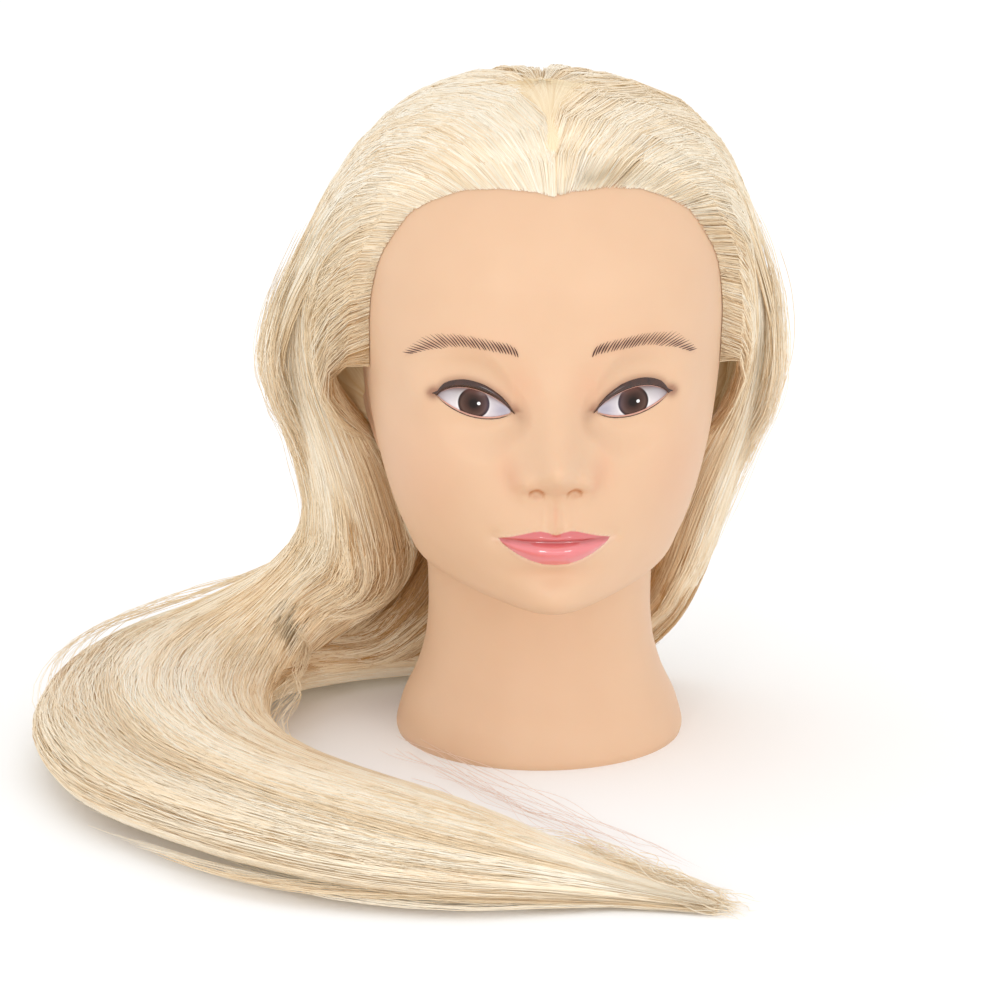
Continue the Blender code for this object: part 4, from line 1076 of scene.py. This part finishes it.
def strand_mesh(name, paths, radius, tone, tones, bodies=()):
    """Thin tapering tubes along many paths, in pieces small enough to handle."""
    sides = 3
    count, steps, _ = paths.shape
    tangent = np.gradient(paths, axis=1)
    tangent /= np.maximum(np.linalg.norm(tangent, axis=2, keepdims=True), 1e-9)
    first = np.cross(tangent, np.array([0.31, 0.52, 0.79]))
    first /= np.maximum(np.linalg.norm(first, axis=2, keepdims=True), 1e-9)
    second = np.cross(tangent, first)
    angles = np.arange(sides) * TAU / sides
    ring = first[:, :, None, :] * np.cos(angles)[:, None] + second[:, :, None, :] * np.sin(angles)[:, None]
    t = np.linspace(0.0, 1.0, steps)[None, :]
    taper = np.clip(t / 0.01 + 0.5, 0.0, 1.0) * np.clip((1.0 - t) / 0.10, 0.10, 1.0)
    points = paths[:, :, None, :] + ring * (radius[:, None] * taper)[..., None, None]
    points[..., 2] = np.maximum(points[..., 2], 0.25)
    quads_one = grid_quads(steps, sides)
    per_piece = max(1, MOST_FACES // len(quads_one))
    for start in range(0, count, per_piece):
        part = points[start : start + per_piece]
        shift = (np.arange(len(part)) * steps * sides)[:, None, None]
        quads = (quads_one[None] + shift).reshape(-1, 4)
        index = np.repeat(tone[start : start + per_piece, :-1], sides, axis=1).reshape(-1)
        piece_name = f"{name}_{start // per_piece + 1}"
        piece = make_mesh(piece_name, part.reshape(-1, 3), quads, tones, face_material=index)
    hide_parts(*bodies)


def tone_of(count, steps, base, spread, clump, clump_spread):
    """Tone index along each strand: shared by a clump, varied by strand and slowly along it."""
    clumps = int(clump.max()) + 1
    shared = RNG.normal(0.0, clump_spread, clumps)[clump][:, None]
    own = RNG.normal(0.0, spread, (count, 1))
    along = np.linspace(0.0, 1.0, steps)[None, :]
    slow = wander(count, steps, 3, 0.35, along)
    value = np.asarray(base) + shared + own + slow
    return np.clip(np.round(value), 0, LIGHTEST).astype(int)


def place_shade(paths):
    """Painted shade and light by place: golden next to the neck and in the fold where the fall meets the
    table, lighter on the front crest.
    """
    x, y, z = paths[..., 0], paths[..., 1], paths[..., 2]
    reach = np.hypot(x, y)
    neck = -2.6 * np.exp(-(((reach - 62.0) / 24.0) ** 2)) * smooth_step(z, 15.0, 45.0)
    neck = neck * (1.0 - smooth_step(z, 120.0, 170.0))
    fold = -1.8 * np.exp(-(((x + 105.0) / 34.0) ** 2) - ((y - 42.0) / 38.0) ** 2)
    fold = fold * (1.0 - smooth_step(z, 55.0, 90.0))
    crest = 0.6 * smooth_step(-y, 110.0, 150.0)
    return neck + fold + crest


def section_from_turn(turn, radius, side):
    """Section coordinates from a turn: 0 is the side next to the neck, 90 the front, 180 the outer side."""
    a = -np.sin(np.radians(turn)) * radius
    b = np.cos(np.radians(turn)) * radius * (1.0 if side < 0 else -1.0)
    return a, b


def clumped(count, size, low, high):
    """A shared random value in a range for each strand's clump, and the clump's number."""
    clumps = max(1, count // size)
    index = RNG.integers(0, clumps, count)
    return index, RNG.uniform(low, high, clumps)[index]


def clump_share(clump):
    """A random share from 0 to 1 for each strand, the same all through its clump."""
    return RNG.uniform(0.0, 1.0, int(clump.max()) + 1)[clump]


def shared_wander(clump, steps, waves, amount, along, own=0.3):
    """Drift that a clump's strands share, with a smaller part of their own."""
    clumps = int(clump.max()) + 1
    together = wander(clumps, steps, waves, amount, np.linspace(0.0, 1.0, steps)[None, :])[clump]
    return together + wander(len(clump), steps, waves, amount * own, along)


def within(a, b, limit):
    """Section coordinates held inside a share of the run's outline."""
    size = np.sqrt(a * a + b * b)
    squeeze = np.where(size > limit, limit / np.maximum(size, 1e-6), 1.0)
    return a * squeeze, b * squeeze


def soften(paths, passes):
    for _ in range(passes):
        paths[:, 1:-1] = 0.25 * paths[:, :-2] + 0.5 * paths[:, 1:-1] + 0.25 * paths[:, 2:]
    return paths


# Strands of a fall keep to this outer share of its section. Their scalp part and fall have these points.
FALL_SURFACE = 0.74
BASE_TONE = 5.4
CAP_STEPS = 40
FINE_STEPS = 110
FIRST_FINE = 14


def falling_strands(name, side, table, run, count, bodies, tones, last):
    """Strands from the hairline over the head and down a run of hair."""
    clump, clump_u = clumped(count, 30, 0.0, 1.02)
    u = np.clip(clump_u + RNG.normal(0.0, 0.022, count), 0.0, 1.04)
    shared = RNG.normal(0.0, 1.0, int(clump.max()) + 1)[clump]
    turn = entry_turns(u) + RNG.normal(0.0, 5.0, count) + shared * 9.0
    layer = clump_share(clump)
    outward = np.sqrt(np.clip(layer + RNG.normal(0.0, 0.12, count), 0.0, 1.08))
    radius_in = FALL_SURFACE + (1.0 - FALL_SURFACE) * outward
    a, b = section_from_turn(turn, radius_in, side)
    start = run_at(run, np.zeros(count), a, b)
    depth = np.abs(RNG.normal(0.0, 3.4, count))
    depth = np.where(RNG.uniform(0, 1, count) < 0.35, RNG.uniform(0.0, 1.2, count), depth)
    lay = np.interp(u, (0.0, 0.45, 1.0, 2.0), (0.98, 0.86, 0.50, 0.5)) * (0.78 + 0.24 * layer)
    lay = np.clip(lay + RNG.normal(0.0, 0.025, count), 0.2, 1.05)
    roll = RNG.uniform(5.0, 8.5, count) * np.interp(u, *ROLL)
    cap = cap_paths(side, table, u, depth, lay, start, CAP_STEPS, roll, shared)
    steps = 60
    share = np.linspace(0.0, 1.0, steps)[None, :]
    stop = np.clip(last - np.abs(RNG.normal(0.0, 1.2, count)), 4.0, last)[:, None]
    at = share * stop
    ease = smooth_step(share, 0.0, 0.2)
    drift_a = shared_wander(clump, steps, 3, 0.09, share) * ease
    drift_b = shared_wander(clump, steps, 3, 0.07, share) * ease
    fall = run_at(run, at, *within(a[:, None] + drift_a, b[:, None] + drift_b, 1.05))
    paths = np.concatenate([soften(cap, 2), fall[:, 1:]], axis=1)
    even = evenly(paths, FINE_STEPS)
    over_scalp = (length_of(paths[:, :CAP_STEPS]) / length_of(paths))[:, None]
    smooth = soften(even.copy(), 14)
    fine_share = np.linspace(0.0, 1.0, FINE_STEPS)[None, :]
    blend = smooth_step(fine_share, over_scalp * 0.75, over_scalp * 1.15)[..., None]
    even = even * (1.0 - blend) + smooth * blend
    keep = np.linspace(0.0, 1.0, FALL_STEPS)[None, :] ** 1.2 + np.zeros((count, 1))
    even = np.concatenate([evenly(paths, 24, 0.12), even[:, FIRST_FINE:]], axis=1)
    paths = resample(even, keep)
    paths[..., 2] = np.maximum(paths[..., 2], LOWEST)
    sizes = RNG.uniform(*STRAND_RADIUS, count)
    # Painted shade: strands from the temple side, which enter the fall next to the neck, get darker tones, and
    # so do the fall's inner layers.
    shade = np.interp(u, (0.0, 0.5, 0.75, 1.02), (0.7, 0.4, -1.2, -3.4))
    base = BASE_TONE + shade + 1.6 * (layer - 0.5)
    tone = tone_of(count, FALL_STEPS, base[:, None] + place_shade(paths), 0.6, clump, 1.1)
    strand_mesh(name, paths, sizes, tone, tones, bodies)


def run_strands(
    name, run, count, first, last, tones, surface=0.86, radius=STRAND_RADIUS, loose=1.0,
    base_tone=BASE_TONE, spans=(2.5, 7.0),
):
    """Extra strands that lie along part of a run."""
    clump, clump_turn = clumped(count, 24, 0.0, 360.0)
    turn = clump_turn + RNG.normal(0.0, 4.5, count)
    layer = clump_share(clump)
    outward = np.sqrt(np.clip(layer + RNG.normal(0.0, 0.10, count), 0.0, 1.1))
    radius_in = surface + (1.02 * loose - surface) * outward
    a, b = section_from_turn(turn, radius_in, -1)
    steps = 50
    share = np.linspace(0.0, 1.0, steps)[None, :]
    clump_begin = RNG.uniform(first, first + (last - first) * 0.6, int(clump.max()) + 1)[clump]
    begin = (clump_begin + RNG.normal(0.0, 0.25, count))[:, None]
    begin = np.clip(begin, first, last - 2.0)
    reach = begin + RNG.uniform(*spans, (count, 1))
    stop = np.clip(reach, None, last - np.abs(RNG.normal(0.0, 0.5, (count, 1))))
    at = begin + (stop - begin) * share
    a = a[:, None] + shared_wander(clump, steps, 3, 0.09 * loose, share)
    b = b[:, None] + shared_wander(clump, steps, 3, 0.07 * loose, share)
    paths = run_at(run, at, *within(a, b, 1.05 * loose))
    paths = evenly(soften(evenly(paths, 60), 6), RUN_STEPS)
    paths[..., 2] = np.maximum(paths[..., 2], LOWEST)
    # Painted shade: strands of the inner layers get darker tones, the outer ones lighter.
    base = base_tone + 1.6 * (layer - 0.5)
    tone = tone_of(count, RUN_STEPS, base[:, None] + place_shade(paths), 0.6, clump, 1.2)
    strand_mesh(name, paths, RNG.uniform(*radius, count), tone, tones)


def run_surface(name, run, first, last, scale, material, bodies):
    """The solid body of a run of hair, under its loose strands."""
    at = np.arange(first, last + 1e-9, 0.1)
    columns = 40
    turns = np.arange(columns) * TAU / columns
    at_grid, turn = np.meshgrid(at, turns, indexing="ij")
    ridges = 1.0 + 0.05 * np.sin(turn * 7.0 + at_grid * 0.7) + 0.03 * np.sin(turn * 13.0 - at_grid * 1.1)
    close = np.clip((last - at_grid) / 1.6, 0.02, 1.0) ** 0.5
    close = close * np.clip((at_grid - first) / 0.4 + 0.02, 0.0, 1.0) ** 0.5
    a, b = (part * scale * ridges * close for part in (-np.sin(turn), np.cos(turn)))
    points = run_at(run, at_grid, a, b)
    points[..., 2] = np.maximum(points[..., 2], 0.4)
    stations = np.arange(run["count"]) * RUN_STEP
    length = np.interp(at_grid, stations, run["length"])
    radius = np.interp(at_grid, stations, run["wide"] + run["thick"]) * 0.5
    keys = {"across": turn * radius, "along": length}
    made = make_mesh(name, points.reshape(-1, 3), grid_quads(len(at), columns), [material], attributes=keys)
    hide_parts(*bodies)


def inside_mass(azimuth, elevation):
    """Distance in mm from the edge of the combed mass, positive on the hair's side."""
    level, before, after = (np.interp(azimuth + shift, *MASS_EDGE) for shift in (0.0, -2.0, 2.0))
    slope = (after - before) / 4.0
    return (elevation - level) / np.sqrt(1.0 + slope * slope) * 1.6


def angles_of(rays):
    """Azimuth and elevation in degrees of directions from the skull's middle."""
    azimuth = np.degrees(np.arctan2(np.abs(rays[..., 0]), -rays[..., 1]))
    return azimuth, np.degrees(np.arcsin(np.clip(rays[..., 2], -1.0, 1.0)))


def cap_shell(material, bodies):
    """The combed mass under the scalp's strands, which dips under the skin past the hairline."""
    rows = np.concatenate([np.linspace(9.0, 20.0, 120), np.linspace(20.0, CROWN - 0.02, 40)[1:]])
    columns = 220
    even = np.arange(columns) * TAU / columns
    ring, angle = np.meshgrid(rows, even, indexing="ij")
    form = head_form(ring, angle)
    rays = form - SKULL
    reach = np.linalg.norm(rays, axis=-1)
    rays = rays / reach[..., None]
    azimuth, elevation = angles_of(rays)
    inside = inside_mass(azimuth, elevation)
    left = smooth_step(-form[..., 0], -12.0, 12.0)
    full = thickness(azimuth, elevation, -1) * left + thickness(azimuth, elevation, 1) * (1.0 - left)
    ridges = 0.5 * np.sin(azimuth * 0.9 + elevation * 0.15) + 0.4 * np.sin(azimuth * 0.37 - 0.2 * elevation)
    temple = smooth_step(azimuth, 55.0, 66.0) * (1.0 - smooth_step(azimuth, 88.0, 105.0))
    temple = temple * smooth_step(elevation, -40.0, -20.0) * (1.0 - smooth_step(elevation, 22.0, 40.0))
    mass = (0.42 - 0.30 * temple) * full
    height = -1.5 + (mass + 1.5 + 0.5 * ridges) * smooth_step(inside, -2.0, 26.0)
    points = SKULL + rays * (reach + height)[..., None]
    quads = grid_quads(len(rows), columns)
    keep = (inside.reshape(-1)[quads] > -7.0).any(axis=1)
    keys = {"across": across_comb(form), "along": elevation * 1.5}
    points = points.reshape(-1, 3)
    quads = quads[keep]
    used = np.unique(quads)
    index = np.zeros(len(points), int)
    index[used] = np.arange(len(used))
    keys = {key: value.reshape(-1)[used] for key, value in keys.items()}
    made = make_mesh("hair_cap", points[used], index[quads], [material], attributes=keys)
    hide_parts(*bodies)


def across_comb(form):
    """A measure that grows across the comb direction over the scalp, in mm."""
    turn = np.arctan2(form[..., 0], -(form[..., 1] + 60.0))
    return turn * 75.0


def crown_strands(name, side, table, run, count, tones, turns, azimuths):
    """Strands rooted over the crown and the back, which fall into the runs behind."""
    clump, clump_az = clumped(count, 24, *azimuths)
    clump_el = clump_share(clump)
    azimuth0 = np.abs(clump_az + RNG.normal(0.0, 3.0, count))
    lowest = np.interp(azimuth0, (0.0, 50.0, 90.0, 180.0), (56.0, 52.0, 38.0, 30.0))
    elevation0 = np.clip(lowest + (88.0 - lowest) * clump_el + RNG.normal(0.0, 2.0, count), lowest - 2.0, 89.0)
    share_az = (clump_az - azimuths[0]) / (azimuths[1] - azimuths[0])
    turn = turns[0] + (turns[1] - turns[0]) * share_az + RNG.normal(0.0, 8.0, count)
    layer = clump_share(clump)
    radius_in = np.sqrt(0.5 + 0.52 * layer)
    a, b = section_from_turn(turn, radius_in, side)
    start = run_at(run, np.zeros(count), a, b)
    t = np.linspace(0.0, 1.0, CAP_STEPS)[None, :] + np.zeros((count, 1))
    exit_rays = start - SKULL
    exit_reach = np.linalg.norm(exit_rays, axis=-1)
    exit_rays /= exit_reach[:, None]
    root = direction(azimuth0, elevation0, side)
    exit_az, exit_el = angles_of(exit_rays)
    middle = 0.45 * azimuth0 + 0.55 * exit_az
    second = direction(0.75 * azimuth0 + 0.25 * exit_az, np.minimum(elevation0, 60.0), side)
    third = direction(middle, np.minimum(elevation0 * 0.3, 20.0), side)
    rays = sphere_path((root, second, third, exit_rays), t)
    azimuth, elevation = angles_of(rays)
    full = thickness(azimuth, elevation, side)
    under = 1.0 - smooth_step(azimuth0, 60.0, 110.0)
    lay = (0.62 + 0.36 * layer - 0.26 * under)[:, None]
    end_share = ((exit_reach - scalp(table, exit_az, exit_el)) / thickness(exit_az, exit_el, side))[:, None]
    finish = smooth_step(t, 0.45, 1.0)
    height = (lay * (1 - finish) + end_share * finish) * full * smooth_step(t, -0.02, 0.10)
    cap = SKULL + rays * (scalp(table, azimuth, elevation) + np.maximum(height, 0.35))[..., None]
    share = np.linspace(0.0, 1.0, CAP_STEPS)[None, :]
    stop = RNG.uniform(2.5, 6.0, (count, 1))
    drift_a = shared_wander(clump, CAP_STEPS, 2, 0.08, share)
    drift_b = shared_wander(clump, CAP_STEPS, 2, 0.08, share)
    fall = run_at(run, share * stop, *within(a[:, None] + drift_a, b[:, None] + drift_b, 1.03))
    paths = np.concatenate([cap, fall[:, 1:]], axis=1)
    paths = evenly(soften(evenly(paths, 90), 8), CROWN_STEPS)
    paths[..., 2] = np.maximum(paths[..., 2], LOWEST)
    # Painted shade: strands of the inner layers get darker tones, the outer ones lighter.
    base = 5.2 + 1.4 * (layer - 0.5)
    tone = tone_of(count, CROWN_STEPS, base[:, None] + place_shade(paths), 0.6, clump, 1.1)
    strand_mesh(name, paths, RNG.uniform(*STRAND_RADIUS, count), tone, tones)


# Chains of points that the loose hairs follow.
WISP_LEFT = (
    (-84.0, 6.0, 226.0), (-97.0, 8.0, 200.0), (-107.0, 4.0, 178.0), (-111.0, 2.0, 160.0),
    (-108.0, 10.0, 142.0), (-102.0, 22.0, 125.0), (-97.0, 31.0, 106.0), (-94.0, 37.0, 86.0),
    (-96.0, 46.0, 66.0), (-104.0, 56.0, 48.0),
)
WISP_RIGHT = (
    (80.0, 6.0, 226.0), (91.0, 4.0, 200.0), (95.5, 0.0, 182.0), (97.0, -4.0, 160.0),
    (95.0, 6.0, 138.0), (89.0, 20.0, 118.0), (82.0, 30.0, 96.0), (75.0, 38.0, 74.0),
    (68.0, 46.0, 52.0),
)
ROSE_PATH = (
    (-62.0, -35.0, 4.0), (-45.0, -58.0, 3.0), (-21.0, -98.0, 3.0), (2.0, -128.0, 2.0),
    (24.0, -156.0, 1.0), (47.0, -188.0, 0.6),
)
TAIL_PATH = (
    (-20.0, -168.0, 12.0), (4.0, -178.0, 8.0), (22.0, -190.0, 5.0), (36.0, -200.0, 3.0),
    (50.0, -212.0, 1.0), (58.0, -219.0, 0.6),
)
SWEEP_NODES = (
    "hair_fall_left_upper", "hair_fall_left_lower", "hair_sweep_back", "hair_sweep_bend_rear",
    "hair_sweep_bend_front", "hair_sweep_front", "hair_tail", "hair_tail_tip",
)


def hair_masses(left, right, back, curtain):
    """The combed bodies under the strands."""
    under = under_hair_material("hair_under", (0.74, 0.52, 0.27), (0.97, 0.84, 0.60))
    shaded = under_hair_material("hair_shaded", (0.42, 0.22, 0.08), (0.70, 0.47, 0.22))
    parts = ("top", "temple", "side", "back")
    cap_shell(under, [f"hair_{part}_{word}" for part in parts for word in ("left", "right")])
    run_surface("hair_mass_left", left, 0.0, 14.0, 0.78, under, SWEEP_NODES)
    right_nodes = ("hair_fall_right_upper", "hair_fall_right_lower")
    run_surface("hair_mass_right", right, 0.0, 9.0, 0.76, under, right_nodes)
    back_nodes = ("hair_fall_back_upper", "hair_fall_back_lower")
    run_surface("hair_mass_back", back, 0.0, 6.0, 0.78, shaded, back_nodes)
    run_surface("hair_mass_curtain", curtain, 0.0, 6.5, 0.80, shaded, ())


def build_hair():
    table = skull_table()
    runs = (LEFT_RUN, RIGHT_RUN, BACK_RUN, CURTAIN_RUN)
    left, right, back, curtain = (run_table(rows) for rows in runs)
    tones = strand_materials()
    hair_masses(left, right, back, curtain)
    thin = 1.0
    falling_strands("hair_left", -1, table, left, int(6000 * thin), ["hair_wisp_left"], tones, 15.0)
    falling_strands("hair_right", 1, table, right, int(4200 * thin), ["hair_wisp_right"], tones, 20.0)
    for name, side, run, count, turns, azimuths in (
        ("left", -1, left, 2000, (200.0, 300.0), (0.0, 150.0)),
        ("right", 1, right, 1800, (200.0, 300.0), (0.0, 150.0)),
        ("back", 1, back, 2400, (192.0, 272.0), (96.0, 179.0)),
        ("rear", -1, back, 2400, (192.0, 272.0), (96.0, 179.0)),
        ("curtain", -1, curtain, 1600, (200.0, 300.0), (100.0, 165.0)),
    ):
        crown_strands(f"hair_crown_{name}", side, table, run, int(count * thin), tones, turns, azimuths)
    # Painted shade: strands behind the neck, in the curtain and at the nape get darker base tones.
    behind = {"base_tone": 2.6}
    short = {"spans": (2.0, 5.0)}
    stray = {"surface": 1.0, "loose": 1.28, "radius": (0.09, 0.14), "base_tone": 6.0}
    for name, run, count, first, last, looks in (
        ("sweep", left, 5200, 0.5, 15.0, {}),
        ("behind_neck", right, 900, 1.0, 10.0, behind),
        ("curtain", curtain, 1500, 0.0, 8.0, behind | short),
        ("nape", back, 2000, 0.0, 8.0, {"base_tone": 3.4} | short),
        ("stray", left, 160, 1.0, 15.0, stray),
    ):
        run_strands(f"hair_{name}", run, int(count * thin), first, last, tones, **looks)
    loose_strands("hair_wisps_left", WISP_LEFT, int(420 * thin), (2.2, 4.0, 2.0), tones, (3, 8))
    loose_strands("hair_wisps_right", WISP_RIGHT, int(280 * thin), (2.0, 4.0, 2.0), tones, (3, 8))
    rose = Nodes("hair_tone_rose")
    rose.set(Base_Color=(0.90, 0.70, 0.60, 1.0), Roughness=0.4)
    thinnest, thinner = (0.07, 0.11), (0.11, 0.18)
    loose_strands("hair_rose_strays", ROSE_PATH, 22, (6.0, 6.0, 1.2), [rose.material], (0, 0), thinnest, True)
    count = int(260 * thin)
    loose_strands("hair_tail_strays", TAIL_PATH, count, (4.5, 4.0, 2.0), tones, (4, 8), thinner, True)


def entry_turns(u):
    """Where strands enter the fall: on its outer side from the parting, its inner side from the temple."""
    return np.interp(u, (0.0, 0.35, 0.6, 1.0), (200.0, 150.0, 95.0, 20.0))


def loose_strands(name, anchors, count, spread, tones, tone_range, radius=(0.09, 0.15), flat=False):
    """Single stray hairs along a chain of points, each with its own slow drift."""
    anchors = np.asarray(anchors, float)
    steps = LOOSE_STEPS
    share = np.linspace(0.0, 1.0, steps)[None, :]
    begin = RNG.uniform(0.0, 0.35, (count, 1))
    end = RNG.uniform(0.65, 1.0, (count, 1))
    at = (begin + (end - begin) * share) * (len(anchors) - 1)
    paths = np.stack([channel(anchors, axis, at) for axis in range(3)], axis=-1)
    for axis in range(3):
        amount = spread[axis]
        paths[..., axis] += RNG.normal(0.0, amount, (count, 1)) + wander(count, steps, 3, amount * 0.45, share)
    if flat:
        paths[..., 2] = np.abs(paths[..., 2]) + LOWEST
    paths[..., 2] = np.maximum(paths[..., 2], LOWEST)
    tone = RNG.integers(tone_range[0], tone_range[1] + 1, count)
    tone = np.repeat(tone[:, None], steps, axis=1)
    strand_mesh(name, paths, RNG.uniform(*radius, count), tone, tones)


# ---------------------------------------------------------------- stage
def camera():
    """The eye stands about 1.4 m in front of the head, a little above it and to its right."""
    data = bpy.data.cameras.new("camera")
    obj = bpy.data.objects.new("camera", data)
    bpy.context.scene.collection.objects.link(obj)
    place = np.array([-0.0821, -1.3425, 0.450])
    yaw, pitch = math.radians(2.8086), math.radians(14.6907)
    forward = np.array([math.sin(yaw) * math.cos(pitch), math.cos(yaw) * math.cos(pitch), -math.sin(pitch)])
    right = np.array([math.cos(yaw), -math.sin(yaw), 0.0])
    up = np.cross(right, forward)
    where = place + AXIS
    rows = [[right[i], up[i], -forward[i], where[i]] for i in range(3)] + [[0.0, 0.0, 0.0, 1.0]]
    obj.matrix_world = Matrix(rows)
    data.sensor_width = 36.0
    data.lens = 120.7
    data.clip_end = 40.0
    bpy.context.scene.camera = obj


def area(name, place, target, size, power):
    data = bpy.data.lights.new(name, "AREA")
    data.shape = "RECTANGLE"
    data.size, data.size_y = size
    data.energy = power
    obj = bpy.data.objects.new(name, data)
    obj.location = Vector(place) + Vector(AXIS)
    aim = Vector(target) + Vector(AXIS) - obj.location
    obj.rotation_euler = aim.to_track_quat("-Z", "Y").to_euler()
    bpy.context.scene.collection.objects.link(obj)


def stage():
    floor = bpy.data.meshes.new("floor")
    size = 9.0
    flat = ((-size, -size, 0.0), (size, -size, 0.0), (size, size, 0.0), (-size, size, 0.0))
    floor.from_pydata(flat, [], [(0, 1, 2, 3)])
    obj = bpy.data.objects.new("floor", floor)
    n = Nodes("floor")
    n.set(Base_Color=(0.97, 0.97, 0.97, 1.0), Roughness=0.9, Specular_IOR_Level=0.1)
    floor.materials.append(n.material)
    bpy.context.scene.collection.objects.link(obj)
    world = bpy.data.worlds.new("world")
    world.use_nodes = True
    background = world.node_tree.nodes["Background"]
    background.inputs["Color"].default_value = (1.0, 1.0, 1.0, 1.0)
    background.inputs["Strength"].default_value = 1.10
    bpy.context.scene.world = world
    area("key", (-0.70, -1.7, 0.42), (0.0, 0.0, 0.08), (0.35, 0.55), 3.4)
    area("fill", (0.80, -1.65, 0.42), (0.0, 0.0, 0.10), (0.35, 0.55), 2.4)
    area("low", (0.0, -2.0, 0.30), (0.0, 0.0, 0.08), (1.6, 0.4), 2.0)
    bpy.context.scene.view_settings.view_transform = "Standard"


def head_tree(skin):
    points = [v.co.copy() for v in skin.data.vertices]
    return BVHTree.FromPolygons(points, [tuple(p.vertices) for p in skin.data.polygons])


def finish_cad_nodes():
    """Better materials for the CAD nodes that stay as they are."""
    plastic = plain("plate_plastic", (0.045, 0.045, 0.045), 0.55, grain=(700.0, 0.35))
    steel = plain("screw_zinc", (0.60, 0.60, 0.62), 0.34, metallic=1.0, grain=(900.0, 0.20))
    foam = plain("foam", (0.80, 0.74, 0.55), 0.95, grain=(500.0, 0.15))
    finishes = {"base_plate": plastic, "clamp_socket": plastic, "skull_core": foam}
    for number in range(1, 5):
        finishes[f"base_screw_{number}"] = steel
    for node, material in finishes.items():
        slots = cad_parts[node].data.materials
        slots.clear()
        slots.append(material)


def build():
    skin = build_skin()
    skin_mat = skin.data.materials[0]
    dome_cap(skin_mat)
    for side in (-1, 1):
        ear(side, skin_mat)
    eyes = eye_material()
    rim_dark = plain("lid_liner", (0.045, 0.014, 0.007), 0.12, grain=(400.0, 0.45), coat=0.12)
    rim_pale = plain("lid_edge", (0.66, 0.34, 0.26), 0.3, grain=(400.0, 0.1))
    for side in (-1, 1):
        eye_patch(side, eyes)
        lid_rims(side, rim_dark, rim_pale)
    brow_paint = plain("brow_paint", (0.085, 0.026, 0.015), 0.5, grain=(300.0, 0.25))
    brows(head_tree(skin), brow_paint)
    finish_cad_nodes()
    build_hair()


stage()
camera()
build()
